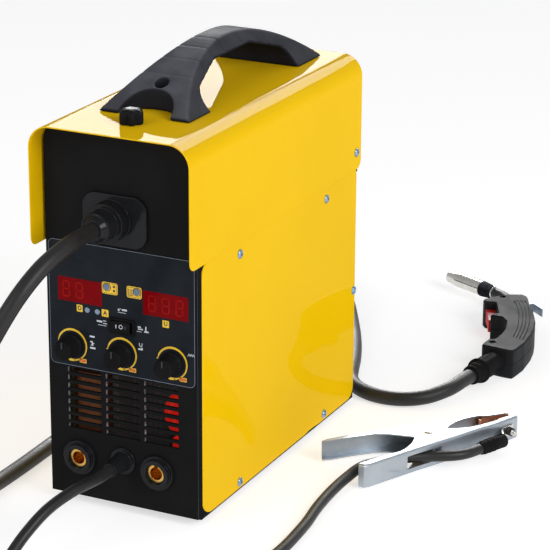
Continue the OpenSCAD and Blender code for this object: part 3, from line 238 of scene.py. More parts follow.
def newGroup(name, inputs, outputs):
    tree = bpy.data.node_groups.new(name, "ShaderNodeTree")
    tree.interface.new_socket("Vector", in_out="INPUT", socket_type="NodeSocketVector")
    for title, value in inputs.items():
        s = tree.interface.new_socket(title, in_out="INPUT", socket_type="NodeSocketFloat")
        s.default_value = value
    for title in outputs:
        kind = "NodeSocketVector" if title == "Normal" else "NodeSocketFloat"
        tree.interface.new_socket(title, in_out="OUTPUT", socket_type=kind)
    start = addNode(tree, "NodeGroupInput", (-700, 0))
    return tree, start, addNode(tree, "NodeGroupOutput", (500, 0))


def addNoise(tree, start, at, vector=None, **values):
    noise = addNode(tree, "TexNoise", at, values)
    wire(
        tree, (vector or start, "Vector", noise, "Vector"), (start, "Scale", noise, "Scale")
    )
    return noise


def makeGrain():
    # fine moulded or powder-coated grain, a normal and a 0..1 shade
    tree, start, end = newGroup(
        "surfaceGrain", dict(Scale=900.0, Depth=0.00005), ("Normal", "Shade")
    )
    noise = addNoise(tree, start, (-400, 0), Detail=3.0, Roughness=0.6)
    bump = addNode(tree, "Bump", (0, 0), dict(Strength=1.0))
    wire(
        tree, (noise, "Fac", bump, "Height"), (start, "Depth", bump, "Distance"),
        (bump, "Normal", end, "Normal"), (noise, "Fac", end, "Shade"),
    )
    return tree


def makePatches():
    # broad soft patches mapped between two values
    tree, start, end = newGroup(
        "softPatches", dict(Scale=12.0, Low=0.0, High=1.0), ("Value", "Mask")
    )
    noise = addNoise(tree, start, (-400, 0), Detail=4.0, Distortion=0.4)
    mask = addNode(tree, "MapRange", (-150, -150), {"From Min": 0.35, "From Max": 0.65})
    spread = addNode(tree, "MapRange", (100, 0))
    wire(
        tree, (noise, "Fac", mask, "Value"), (mask, "Result", spread, "Value"),
        (start, "Low", spread, "To Min"), (start, "High", spread, "To Max"),
        (spread, "Result", end, "Value"), (mask, "Result", end, "Mask"),
    )
    return tree


def makeScratches():
    # thin random scratches, white on black
    tree, start, end = newGroup("fineScratches", dict(Scale=60.0, Amount=0.3), ("Mask",))
    stretch = addNode(
        tree, "Mapping", (-500, 0), dict(Scale=(1.0, 0.06, 1.0), Rotation=(0.3, 0.2, 0.7))
    )
    noise = addNoise(tree, start, (-300, 0), stretch, Detail=2.0, Distortion=0.8)
    thin = addNode(tree, "MapRange", (-80, 0), {"From Min": 0.66, "From Max": 0.72})
    amount = addNode(tree, "Math", (200, 0), operation="MULTIPLY")
    wire(
        tree, (start, "Vector", stretch, "Vector"), (noise, "Fac", thin, "Value"),
        (thin, "Result", amount, 0), (start, "Amount", amount, 1),
        (amount, "Value", end, "Mask"),
    )
    return tree


def makeDustAndSheen():
    # settled dust on faces that look up; on the black mouldings, the handle and the torch it is
    # painted sheen, a lighter top
    tree, start, end = newGroup("settledDust", dict(Scale=30.0, Amount=0.2), ("Mask",))
    shape = addNode(tree, "NewGeometry", (-600, 200))
    split = addNode(tree, "SeparateXYZ", (-400, 200))
    up = addNode(tree, "MapRange", (-200, 200), {"From Min": 0.4})
    noise = addNoise(tree, start, (-400, -100), Detail=6.0)
    both = addNode(tree, "Math", (0, 0), operation="MULTIPLY")
    amount = addNode(tree, "Math", (200, 0), operation="MULTIPLY")
    wire(
        tree, (shape, "Normal", split, "Vector"), (split, "Z", up, "Value"),
        (up, "Result", both, 0), (noise, "Fac", both, 1), (both, "Value", amount, 0),
        (start, "Amount", amount, 1), (amount, "Value", end, "Mask"),
    )
    return tree


grainGroup = makeGrain()
patchGroup = makePatches()
scratchGroup = makeScratches()
dustGroup = makeDustAndSheen()


def groupNode(tree, group, at, vector, **sockets):
    n = addNode(tree, "Group", at, node_tree=group)
    tree.links.new(vector, n.inputs["Vector"])
    for key, value in sockets.items():
        n.inputs[key].default_value = value
    return n


def mixColour(tree, at, factor, first, second):
    n = addNode(tree, "Mix", at, data_type="RGBA")
    for socket, value in ((n.inputs[0], factor), (n.inputs[6], first), (n.inputs[7], second)):
        if isinstance(value, bpy.types.NodeSocket):
            tree.links.new(value, socket)
        else:
            socket.default_value = (*value, 1.0)
    return n.outputs[2]


def makeFinish(name, given):
    material = bpy.data.materials.new(name)
    material.use_nodes = True
    tree = material.node_tree
    shader = tree.nodes["Principled BSDF"]
    where = addNode(tree, "TexCoord", (-1300, 0)).outputs["Object"]
    stretch = addNode(tree, "Mapping", (-1100, 0), dict(Scale=given.get("stretch", (1, 1, 1))))
    tree.links.new(where, stretch.inputs["Vector"])
    patches = groupNode(
        tree, patchGroup, (-800, 250), where,
        Scale=given["patch"], Low=given["rough"][0], High=given["rough"][1],
    )
    tree.links.new(patches.outputs["Value"], shader.inputs["Roughness"])
    colour = mixColour(
        tree, (-500, 350), patches.outputs["Mask"], given["colour"], given["second"]
    )
    grain = groupNode(
        tree, grainGroup, (-800, -250), stretch.outputs["Vector"],
        Scale=given["grain"], Depth=given["depth"] * mm,
    )
    tree.links.new(grain.outputs["Normal"], shader.inputs["Normal"])
    if "fleck" in given:  # the grain also shows in the colour
        *tint, amount = given["fleck"]
        share = addNode(tree, "Math", (-500, 100), {1: amount}, operation="MULTIPLY")
        tree.links.new(grain.outputs["Shade"], share.inputs[0])
        colour = mixColour(tree, (-300, 300), share.outputs["Value"], colour, tint)
    if "scratch" in given:
        *tint, amount, scale = given["scratch"]
        scratches = groupNode(tree, scratchGroup, (-800, 0), where, Scale=scale, Amount=amount)
        colour = mixColour(tree, (-150, 300), scratches.outputs["Mask"], colour, tint)
    # a colour on faces that look up: dust, and painted sheen (a lighter top) on the black
    # mouldings, handle and torch
    if "dust" in given:
        *tint, amount = given["dust"]
        dust = groupNode(tree, dustGroup, (-800, 500), where, Amount=amount)
        colour = mixColour(tree, (0, 300), dust.outputs["Mask"], colour, tint)
    tree.links.new(colour, shader.inputs["Base Color"])
    coat, coatRough = given.get("coat", (0.0, 0.05))
    shader.inputs["Metallic"].default_value = given.get("metal", 0.0)
    shader.inputs["Specular IOR Level"].default_value = given.get("specular", 0.5)
    shader.inputs["Coat Weight"].default_value = coat
    shader.inputs["Coat Roughness"].default_value = coatRough
    # emission: the displays' own light and the floor's even brightness; on the inner pieces and
    # the choke it is painted light
    if "glow" in given:
        *tint, power = given["glow"]
        shader.inputs["Emission Color"].default_value = (*tint, 1.0)
        shader.inputs["Emission Strength"].default_value = power
    return material


def look(colour, second, rough, patch, grain, depth, **more):
    # two colours in patches of scale patch, roughness from low to high, grain with its
    # scale and its depth in mm; coat: weight, roughness; fleck, dust, glow: red, green,
    # blue, share; scratch: red, green, blue, share, scale; the dust colour is painted top
    # sheen on the black mouldings, handle and torch, and glow is painted light on the
    # inner pieces and the choke
    return dict(
        more, colour=colour, second=second, rough=rough, patch=patch, grain=grain, depth=depth
    )


looks = {
    "yellowPaint": look(
        (0.8, 0.487, 0.002), (0.83, 0.51, 0.003), (0.2, 0.28), 5, 260, 0.03, specular=0,
        coat=(0.14, 0.03), dust=(0.9, 0.75, 0.4, 0.02),
    ),
    # the faint glow is painted light that lifts the dark inside of the case
    "blackPowder": look(
        (0.0075, 0.0078, 0.0085), (0.01, 0.0102, 0.011), (0.42, 0.55), 20, 1500, 0.02, specular=0,
        fleck=(0.014, 0.014, 0.015, 0.3), glow=(1, 1, 1, 0.004),
    ),
    "frontBlack": look(
        (0.0105, 0.0105, 0.0108), (0.0125, 0.0125, 0.013), (0.4, 0.5), 20, 1500, 0.02, specular=0,
        fleck=(0.016, 0.016, 0.017, 0.3),
    ),
    "dialBlack": look(
        (0.009, 0.009, 0.0095), (0.011, 0.011, 0.0115), (0.38, 0.48), 60, 1900, 0.03, specular=0,
        coat=(0.05, 0.2),
    ),
    "socketBlack": look(
        (0.01, 0.0105, 0.012), (0.013, 0.0135, 0.0155), (0.4, 0.5), 60, 1500, 0.03, specular=0,
        coat=(0.3, 0.12),
    ),
    "knobBlack": look(
        (0.009, 0.0095, 0.011), (0.012, 0.0125, 0.015), (0.26, 0.36), 60, 1600, 0.03,
        specular=0.02, coat=(0.06, 0.2),
    ),
    "dialLine": look(
        (0.05, 0.052, 0.058), (0.04, 0.042, 0.048), (0.4, 0.5), 90, 900, 0.04, specular=0.1,
    ),
    # the dust colour here is painted sheen: it lightens the top faces as light would
    "mouldedBlack": look(
        (0.011, 0.012, 0.015), (0.016, 0.017, 0.021), (0.36, 0.52), 24, 1300, 0.09, specular=0,
        coat=(0.04, 0.24), scratch=(0.06, 0.065, 0.08, 0.18, 60), dust=(0.15, 0.155, 0.185, 0.75),
    ),
    # the dust colour here is painted sheen: it lightens the handle's top faces as light would
    "handleBlack": look(
        (0.013, 0.014, 0.018), (0.019, 0.02, 0.026), (0.36, 0.5), 18, 1300, 0.09, specular=0,
        coat=(0.09, 0.34), scratch=(0.08, 0.085, 0.1, 0.2, 60), dust=(0.21, 0.215, 0.25, 0.85),
    ),
    "blackRubber": look(
        (0.009, 0.009, 0.0095), (0.014, 0.014, 0.015), (0.48, 0.62), 30, 1100, 0.05, specular=0,
        coat=(0.06, 0.3),
    ),
    "leadRubber": look(
        (0.008, 0.008, 0.0085), (0.012, 0.012, 0.013), (0.4, 0.55), 18, 800, 0.04, specular=0.4,
        dust=(0.12, 0.12, 0.12, 0.12),
    ),
    "labelFilm": look(
        (0.012, 0.0148, 0.019), (0.0155, 0.0185, 0.024), (0.34, 0.42), 40, 2200, 0.01, specular=0,
        coat=(0.07, 0.1),
    ),
    # painted glint: a light colour on the vent slots' end walls where light catches them
    "slotEndGlint": look(
        (0.34, 0.36, 0.4), (0.16, 0.17, 0.19), (0.35, 0.5), 160, 900, 0.04, specular=0.1,
    ),
    "edgeGlint": look(
        (0.07, 0.09, 0.12), (0.05, 0.065, 0.085), (0.35, 0.45), 40, 900, 0.04, specular=0.1,
    ),
    "labelEdge": look((0.16, 0.19, 0.24), (0.1, 0.12, 0.16), (0.3, 0.4), 30, 900, 0.04),
    "redWindow": look(
        (0.15, 0.0015, 0.003), (0.18, 0.002, 0.004), (0.16, 0.22), 60, 1600, 0.01, specular=0,
        coat=(0.07, 0.03), glow=(0.5, 0.01, 0.01, 0.02),
    ),
    "redDigit": look(
        (0.24, 0.006, 0.006), (0.29, 0.012, 0.008), (0.3, 0.4), 90, 900, 0.04, specular=0,
        glow=(0.6, 0.03, 0.01, 0.02),
    ),
    "redDigitDim": look(
        (0.19, 0.004, 0.006), (0.22, 0.006, 0.008), (0.3, 0.4), 90, 900, 0.04, specular=0,
    ),
    "yellowInk": look((0.88, 0.56, 0.02), (0.8, 0.49, 0.015), (0.35, 0.45), 120, 3000, 0.01),
    "redInk": look((0.75, 0.045, 0.01), (0.6, 0.03, 0.01), (0.35, 0.45), 14, 900, 0.04),
    "whiteInk": look((0.62, 0.66, 0.72), (0.5, 0.53, 0.58), (0.35, 0.5), 14, 900, 0.04),
    "darkInk": look((0.02, 0.02, 0.025), (0.03, 0.03, 0.03), (0.4, 0.5), 14, 900, 0.04),
    "greyButton": look((0.09, 0.14, 0.23), (0.12, 0.18, 0.28), (0.3, 0.4), 150, 2500, 0.02),
    "greyLens": look(
        (0.15, 0.21, 0.32), (0.2, 0.27, 0.38), (0.12, 0.2), 220, 900, 0.04, coat=(0.5, 0.05),
    ),
    "blueZinc": look(
        (0.22, 0.34, 0.54), (0.33, 0.44, 0.6), (0.2, 0.3), 160, 2600, 0.04, metal=1,
        scratch=(0.75, 0.78, 0.8, 0.3, 400),
    ),
    "brightZinc": look(
        (0.4, 0.45, 0.5), (0.31, 0.35, 0.4), (0.34, 0.48), 26, 700, 0.07, metal=0.9,
        fleck=(0.62, 0.66, 0.7, 0.3), scratch=(0.2, 0.22, 0.25, 0.25, 60),
    ),
    # the faint glow is painted light that lifts the dark inside of the case
    "galvanised": look(
        (0.55, 0.57, 0.59), (0.61, 0.62, 0.64), (0.4, 0.5), 110, 600, 0.05, metal=0.85,
        fleck=(0.7, 0.72, 0.74, 0.25), glow=(1, 1, 1, 0.005),
    ),
    "steelBright": look(
        (0.55, 0.55, 0.54), (0.66, 0.65, 0.63), (0.18, 0.32), 90, 1800, 0.03, metal=1,
        scratch=(0.2, 0.2, 0.2, 0.2, 300),
    ),
    "brass": look((0.6, 0.33, 0.065), (0.74, 0.45, 0.12), (0.2, 0.34), 120, 1500, 0.04, metal=1),
    "copperWire": look(
        (0.2, 0.062, 0.02), (0.27, 0.09, 0.03), (0.38, 0.5), 120, 1400, 0.04, metal=0.6,
    ),
    "copperJaw": look(
        (0.72, 0.36, 0.22), (0.45, 0.2, 0.12), (0.3, 0.5), 90, 900, 0.08, metal=0.9,
        scratch=(0.85, 0.62, 0.5, 0.4, 250),
    ),
    # the red glow is painted light: the choke gives no light of its own
    "redVarnish": look(
        (0.58, 0.008, 0.005), (0.72, 0.03, 0.01), (0.24, 0.36), 70, 900, 0.1, specular=0.15,
        coat=(0.15, 0.05), glow=(0.9, 0.02, 0.008, 0.3),
    ),
    "blackOxide": look(
        (0.012, 0.012, 0.013), (0.02, 0.02, 0.021), (0.3, 0.42), 120, 1500, 0.03, metal=0.4,
    ),
    "tieStrap": look(
        (0.03, 0.031, 0.034), (0.042, 0.043, 0.047), (0.5, 0.62), 90, 1600, 0.14, specular=0.2,
    ),
    # the faint glow is painted light that lifts the dark inside of the case
    "castIron": look(
        (0.055, 0.055, 0.058), (0.08, 0.075, 0.07), (0.5, 0.7), 70, 900, 0.12, metal=0.6,
        glow=(1, 1, 1, 0.008),
    ),
    # the faint glow is painted light that lifts the dark inside of the case
    "aluminium": look(
        (0.66, 0.67, 0.69), (0.74, 0.75, 0.77), (0.25, 0.4), 50, 1200, 0.03, metal=1,
        glow=(1, 1, 1, 0.005), stretch=(1, 0.05, 1),
    ),
    # the faint glow is painted light that lifts the dark inside of the case
    "boardGreen": look(
        (0.012, 0.1, 0.04), (0.016, 0.13, 0.05), (0.3, 0.42), 200, 1800, 0.03,
        fleck=(0.3, 0.35, 0.2, 0.15), glow=(1, 1, 1, 0.008),
    ),
    # the faint glow is painted light that lifts the dark inside of the case
    "feederPlastic": look(
        (0.02, 0.02, 0.023), (0.028, 0.028, 0.03), (0.4, 0.55), 40, 1300, 0.06,
        glow=(1, 1, 1, 0.008),
    ),
    "motorCase": look(
        (0.12, 0.12, 0.125), (0.17, 0.17, 0.175), (0.3, 0.45), 60, 900, 0.05, metal=0.8,
    ),
    "triggerRed": look((0.52, 0.012, 0.01), (0.6, 0.018, 0.014), (0.3, 0.44), 60, 1500, 0.05),
    # the dust colour here is painted sheen on the torch's top faces
    "torchBlack": look(
        (0.0095, 0.01, 0.0115), (0.013, 0.0135, 0.0155), (0.42, 0.56), 30, 1100, 0.16,
        specular=0.06, fleck=(0.03, 0.031, 0.036, 0.35), dust=(0.12, 0.125, 0.14, 0.12),
    ),
    "neckSleeve": look(
        (0.012, 0.012, 0.013), (0.018, 0.018, 0.02), (0.36, 0.48), 50, 900, 0.04, specular=0.4,
    ),
    "nickel": look((0.62, 0.6, 0.56), (0.72, 0.7, 0.66), (0.12, 0.2), 60, 1600, 0.02, metal=1),
    "wireBright": look(
        (0.6, 0.3, 0.16), (0.7, 0.4, 0.24), (0.25, 0.4), 90, 1200, 0.1, metal=1,
        stretch=(0.02, 1, 1),
    ),
}
finishes = {name: makeFinish(name, given) for name, given in looks.items()}
finishOfSlot = {
    "black_steel": "blackPowder", "yellow_steel": "yellowPaint",
    "black_plastic": "mouldedBlack", "rubber": "blackRubber", "zinc": "brightZinc",
    "galvanised": "galvanised", "label": "labelFilm", "red_window": "redWindow",
    "grey_button": "greyButton", "grey_lens": "greyLens", "circuit_board": "boardGreen",
    "brass": "brass", "iron": "castIron", "copper": "copperJaw", "red_choke": "redVarnish",
    "aluminium": "aluminium", "wound_wire": "wireBright", "feeder_plastic": "feederPlastic",
    "motor": "motorCase", "roll_steel": "steelBright", "torch_plastic": "torchBlack",
    "red_trigger": "triggerRed", "neck_sleeve": "neckSleeve", "nozzle": "nickel",
    "lead_rubber": "leadRubber",
}
finishOfNode = {node: finishOfSlot[slot] for node, slot in slotOf.items()} | {
    "front_panel": "frontBlack", "mode_switch_body": "dialBlack", "mode_rocker": "dialBlack",
    "socket_insulators": "socketBlack", "transformer_winding": "copperWire",
    "torch_gland": "socketBlack", "earth_gland": "socketBlack", "upper_deck": "blackPowder",
    "handle": "handleBlack",
}
for name, obj in frame["nodes"].items():
    obj.data.materials.clear()
    obj.data.materials.append(finishes[finishOfNode[name]])
print("finishes made:", len(finishes))


# camera

cameraView = dict(
    at=(1.0723, -2.0481, 0.9991), azimuth=26.0, elevation=19.33, roll=0.336, lens=159.29,
    sensor=36.0, sees=(0.05, 60.0),
)


def makeCamera():
    v = cameraView
    data = bpy.data.cameras.new("camera")
    data.lens, data.sensor_width = v["lens"], v["sensor"]
    data.clip_start, data.clip_end = v["sees"]
    cam = link("camera", data)
    cam.matrix_world = (
        Matrix.Translation(v["at"]) @ turned(v["azimuth"], "Z")
        @ turned(90 - v["elevation"], "X") @ turned(v["roll"], "Z")
    )
    scene.camera = cam


makeCamera()


# leads; exit and coil are in metres, front and rear in millimetres, and the end and
# toolRoute in the frame of the torch or the clamp

torchLead = dict(
    diameter=0.016, exit=(-0.007, -0.219, 0.298), coilCentre=(-0.154, 0.400), coilRadius=0.1014,
    coilStart=180.0, coilTurns=-2.375, coilStep=0.018,
    front=[
        (-8, -262, 296), (-14, -296, 285), (-24, -324, 262), (-38, -344, 228), (-57, -358, 185),
        (-79, -361, 138), (-101, -350, 90), (-120, -320, 47), (-132, -272, 18), (-137, -210, 9),
        (-138, -110, 8.3), (-146, 20, 8.3), (-182, 150, 8.3), (-232, 265, 8.3),
    ],
    rear=[
        (-36, 420, 19), (-4, 366, 9), (20, 318, 8.3), (38, 276, 8.3), (49, 246, 8.3),
        (60, 220, 8.3), (78, 199, 8.3), (104, 188, 8.3), (132, 189, 9), (156, 202, 11),
        (173, 225, 15),
    ],
    end=(-27, -100.85), arriving=tuple(-pointing(145.7)), reach=52, toolRoute=[],
    stiffness="stiff", farEnd="tool", nodes=("torch_lead", "torch_lead_coil"),
)
earthLead = dict(
    diameter=0.011, exit=(0.0, -0.207, 0.055), coilCentre=(0.036, -0.408), coilRadius=0.0653,
    coilStart=180.0, coilTurns=3.4, coilStep=0.0124,
    front=[(-7, -262, 55), (-14, -298, 49), (-21, -328, 34), (-26, -357, 15.5)],
    rear=[
        (122, -374, 8), (158, -296, 5.7), (176, -215, 5.7), (174, -145, 5.7), (167, -95, 5.9),
        (164.5, -56, 7), (166.5, -27, 9.5),
    ],
    end=(52, -13), arriving=(0.743, 0.669, 0), reach=0,
    toolRoute=[(-70, -60), (-50, -47.5), (-29, -38.5), (-6, -33.5), (14, -32.2), (30, -29)],
    stiffness="medium", farEnd="fitting", nodes=("earth_lead", "earth_lead_coil"),
)
leadMake = dict(pointsPerTurn=48, between=6, layerGap=0.0006, roundness=6)


def coilPoint(c, t):
    turns = abs(c["coilTurns"])
    s = t - turns / 2
    r = c["coilRadius"] - c["coilStep"] * (turns / 2 - abs(s))
    a = math.radians(c["coilStart"]) + math.copysign(2 * math.pi * t, c["coilTurns"])
    climb = max(0.0, min(1.0, 2 * s + 0.5))
    x, y = c["coilCentre"]
    return Vector((
        x + r * math.cos(a), y + r * math.sin(a),
        c["diameter"] / 2 + (c["diameter"] + leadMake["layerGap"]) * climb,
    ))


def coilPoints(c):
    turns, way = abs(c["coilTurns"]), math.copysign(1, c["coilTurns"])
    n = round(turns * leadMake["pointsPerTurn"])
    body = [coilPoint(c, turns * i / n) for i in range(n + 1)]
    into, out = (
        pointing(c["coilStart"] + way * 360 * t) * way * c["diameter"] for t in (0, turns)
    )
    return [body[0] - into] + body + [body[-1] + out]


def smoothRoute(p):
    # the first and last stretch stay straight
    last, n = len(p) - 1, leadMake["between"]
    out = [p[0]]
    for i in range(1, last - 1):
        b, c = p[i], p[i + 1]
        step = 2 * (c - b).length
        a = p[i - 1] if i > 1 else c - step * (p[1] - p[0]).normalized()
        d = p[i + 2] if i < last - 2 else b + step * (p[i + 2] - c).normalized()
        out += [blended(a, b, c, d, k / n) for k in range(n)]
    return out + [p[-2], p[-1]]


def inMetres(points, where=Matrix()):
    return [where @ (Vector((*q, 0)[:3]) * mm) for q in points]


def leadRoute(lead, onTool):
    coil, d, start = coilPoints(lead), lead["diameter"], Vector(lead["exit"])
    arriving = onTool.to_3x3() @ Vector(lead["arriving"])
    end = inMetres([lead["end"]], onTool)[0] - arriving * lead["reach"] * mm
    front = smoothRoute(
        [start, start + Vector((0, -d, 0))] + inMetres(lead["front"])
        + [coil[0] - (coil[1] - coil[0]).normalized() * d, coil[0]]
    )
    rear = smoothRoute(
        [coil[-1], coil[-1] + (coil[-1] - coil[-2]).normalized() * d]
        + inMetres(lead["rear"]) + inMetres(lead["toolRoute"], onTool)
        + [end - arriving * d, end]
    )
    return front[:-1] + coil[:-1] + rear


def polyCurve(name, points, radius, roundness, closed=False):
    # radius and points in metres
    curve = bpy.data.curves.new(name, "CURVE")
    curve.dimensions = "3D"
    line = curve.splines.new("POLY")
    line.points.add(len(points) - 1)
    for p, q in zip(line.points, points):
        p.co = (*q, 1.0)
    line.use_cyclic_u = closed
    curve.bevel_depth, curve.bevel_resolution = radius, roundness
    curve.use_fill_caps = not closed
    return curve


def layLead(name, lead, onTool):
    points = leadRoute(lead, onTool)
    curve = polyCurve(name, points, lead["diameter"] / 2, leadMake["roundness"])
    curve.materials.append(finishes["leadRubber"])
    obj = place(name, curve, lead["nodes"][0])
    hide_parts(*lead["nodes"])


# copies of CAD pieces with softened edges

softEdges = {
    "base_tray": 0.3, "rear_panel": 0.3, "upper_deck": 0.3, "socket_insulators": 0.5,
    "socket_inserts": 0.3, "torch_gland": 1.2, "earth_gland": 0.8, "mode_switch_body": 0.5,
    "mode_rocker": 0.4, "rubber_feet": 0.8, "mains_gland": 0.8, "torch_trigger": 0.3,
    "torch_hook": 0.3, "torch_contact_tip": 0.2, "push_button_left": 0.5,
    "push_button_right": 0.5, "status_lights": 0.7, "fan_frame": 0.4, "fan_rotor": 0.25,
    "spool_bracket": 0.4, "drive_roll": 0.3, "pressure_arm": 0.4, "pressure_roll": 0.5,
    "transformer_core": 0.4, "choke": 0.5, "transformer_winding": 0.3, "front_panel": 0.5,
    "feed_plate": 0.5, "power_module": 0.3, "gas_valve": 0.3, "control_board": 0.2,
}
slotEnds = (-60.05, -18.25, 23.55)  # the vent slots' left ends
zonesOf = {  # other finishes on one node, by the middle of each face
    "front_panel": [
        # painted glint on the vent slots' left end walls
        ("slotEndGlint", lambda x, y, z: (
            min(abs(x - e) for e in slotEnds) < 0.9 and y > -178.6 and 80 < z < 146
        )),
        ("edgeGlint", lambda x, y, z: x > 80.3 and y < -178.3),
    ],
    "feed_plate": [
        ("brass", lambda x, y, z: x < 2.95 and z < 310),
        ("steelBright", lambda x, y, z: x < 2.95 and z >= 310),
    ],
    "power_module": [
        ("boardGreen", lambda x, y, z: 128.4 < z < 130.6),
        ("feederPlastic", lambda x, y, z: z >= 130.6),
    ],
    "gas_valve": [
        ("aluminium", lambda x, y, z: y < 166),
        ("motorCase", lambda x, y, z: y < 176 and z > 220),
    ],
    "control_board": [("feederPlastic", lambda x, y, z: y > -163 or y < -174)],
}
sheetFit = dict(
    deckHalf=79.7, uprightsPast=80.9, uprightsBefore=-178.9, uprightRound=0.7, uprightMin=100
)


def cadCopy(node):
    bm = bmesh.new()
    bm.from_mesh(frame["nodes"][node].data)
    merge(bm, distance=2e-6)
    bmesh.ops.dissolve_limit(
        bm, angle_limit=math.radians(0.6), verts=bm.verts, edges=bm.edges,
        use_dissolve_boundaries=False,
    )
    return bm


def narrowDeck(bm):
    # ends inside the side panels, which stand above it
    half = sheetFit["deckHalf"] * mm
    for v in bm.verts:
        v.co.x = max(-half, min(half, v.co.x))
    merge(bm, distance=2e-6)
    bmesh.ops.dissolve_degenerate(bm, edges=bm.edges, dist=2e-6)


def roundUprights(bm):
    # a wider round on the front panel's two long upright edges
    fit = sheetFit
    bevel(bm, [
        e for e in bm.edges if e.calc_length() > fit["uprightMin"] * mm and all(
            abs(v.co.x) > fit["uprightsPast"] * mm and v.co.y < fit["uprightsBefore"] * mm
            for v in e.verts
        )
    ], fit["uprightRound"])


def softPiece(node, width):
    bm = cadCopy(node)
    if node == "upper_deck":
        narrowDeck(bm)
    if node == "front_panel":
        roundUprights(bm)
    bevel(bm, sharpEdges(bm), width, 3 if width > 1 else 2)
    zones = zonesOf.get(node, ())
    for f in bm.faces:
        for i, (_, inZone) in enumerate(zones):
            if inZone(*(f.calc_center_median() / mm)):
                f.material_index = i + 1
    name = node.title().replace("_", "")
    name = name[0].lower() + name[1:] + "Soft"
    obj = shown(bm, name, finishOfNode[node], node, 40, stands=True)
    for finish, _ in zones:
        obj.data.materials.append(finishes[finish])


for node, width in softEdges.items():
    softPiece(node, width)
print("softened pieces:", len(softEdges))


# handle, its edges rounded all round and faint creases across its top

handleMould = dict(
    voxel=0.95, smoothing=0.5, rounds=26, creases=(-112, -84, -58, -33, -8, 30, 72),
    creaseWidth=1.5, creaseDepth=0.42, creasedAbove=402,
)


def makeHandle():
    h = handleMould
    rough = link("handleRough", asMesh(cadCopy("handle"), "handleRough"))
    even = rough.modifiers.new("even", "REMESH")
    even.mode, even.voxel_size = "VOXEL", h["voxel"] * mm
    ease = rough.modifiers.new("ease", "SMOOTH")
    ease.factor, ease.iterations = h["smoothing"], h["rounds"]
    bm = worked(rough)
    discard(rough)
    bm.normal_update()
    for v in bm.verts:
        if v.normal.z > 0.5 and v.co.z > h["creasedAbove"] * mm:
            near = min(abs(v.co.y / mm - c) for c in h["creases"]) / h["creaseWidth"]
            v.co -= v.normal * h["creaseDepth"] * mm * math.exp(-(near ** 2))
    shown(bm, "handleRounded", "handleBlack", "handle", 60, stands=True, even=False)


# hood

hoodSheet = dict(
    half=85.0, seam=265.4, top=385.0, front=-200.0, rear=179.0, thickness=1.2, bend=22.0,
    corner=9.0, bendSegments=14, cornerSegments=8, rim=0.4,
)


def makeHood():
    h = hoodSheet
    bm = bmesh.new()
    half, low, high, front = h["half"], h["seam"], h["top"], h["front"]
    _, edges = chain(bm, (
        (-half, front, low), (-half, front, high), (half, front, high), (half, front, low)
    ))
    drawn = bmesh.ops.extrude_edge_only(bm, edges=edges)["geom"]
    length = (h["rear"] - front) * mm
    bmesh.ops.translate(bm, verts=vertsIn(drawn), vec=(0, length, 0))
    bevel(bm, [
        e for e in bm.edges
        if len(e.link_faces) == 2 and abs(e.verts[0].co.z - high * mm) < 1e-6
    ], h["bend"], h["bendSegments"])
    corners = [v for v in bm.verts if abs(v.co.z - low * mm) < 1e-6]
    bevel(bm, corners, h["corner"], h["cornerSegments"], "VERTICES")
    obj = shown(bm, "hoodSheet", "yellowPaint", "hood", 50, stands=True, even=False)
    wall = obj.modifiers.new("wall", "SOLIDIFY")
    wall.thickness, wall.offset = h["thickness"] * mm, -1
    rim = obj.modifiers.new("rim", "BEVEL")
    rim.width, rim.segments, rim.limit_method = h["rim"] * mm, 3, "ANGLE"
    rim.angle_limit = math.radians(60)
    evenNormals(obj)


makeHood()
print("hood made")


# side panels

sidePanel = dict(
    inner=79.8, front=-170.4, rear=179.0, low=6.6, high=266.2, corners=(21.0, 14.0, 10.0, 20.0),
    archY=73.4, archZ=-129.0, archRadius=136.5, wall=0.12,
    roll=((0.45, 0.55), (0.9, 0.33), (1.6, 0.15), (1.6, 0.05)),
)


def panelOutline(p, cornerSteps=8, archSteps=16):
    frontLow, rearLow, rearHigh, frontHigh = p["corners"]
    centres = [
        (p["front"] + frontLow, p["low"] + frontLow, frontLow),
        (p["rear"] - rearLow, p["low"] + rearLow, rearLow),
        (p["rear"] - rearHigh, p["high"] - rearHigh, rearHigh),
        (p["front"] + frontHigh, p["high"] - frontHigh, frontHigh),
    ]
    archY, archZ, archRadius = p["archY"], p["archZ"], p["archRadius"]
    reach = math.sqrt(archRadius ** 2 - (p["low"] - archZ) ** 2)
    outline = []
    for k, (y, z, r) in enumerate(centres):
        for i in range(cornerSteps + 1):
            across, up = onCircle(r, 180 + 90 * k + 90 * i / cornerSteps)
            outline.append((y + across, z + up))
        if k == 0:  # the finger arch in the lower edge
            for i in range(archSteps + 1):
                y = archY - reach + 2 * reach * i / archSteps
                outline.append((y, archZ + math.sqrt(archRadius ** 2 - (y - archY) ** 2)))
    return outline


def makeSidePanel(side):
    p = sidePanel
    bm = bmesh.new()
    bm.faces.new([bm.verts.new((p["inner"] * mm, y * mm, z * mm)) for y, z in panelOutline(p)])
    front = drawOut(bm, (p["wall"], 0, 0))
    bmesh.ops.recalc_face_normals(bm, faces=bm.faces)
    for thickness, rise in p["roll"]:
        inset(bm, front, thickness, rise)
    name, node = "sidePanelRight", "side_panel_right"
    if side < 0:
        name, node = "sidePanelLeft", "side_panel_left"
        whole = bm.verts[:] + bm.edges[:] + bm.faces[:]
        bmesh.ops.mirror(bm, geom=whole, axis="X", merge_dist=0)
        bmesh.ops.delete(bm, geom=[v for v in bm.verts if v.co.x > 0], context="VERTS")
    shown(bm, name, "yellowPaint", node, 60, stands=True)


makeSidePanel(-1)
makeSidePanel(1)
print("side panels made")


# print on the control label, drawn flat in x and z and given a little height

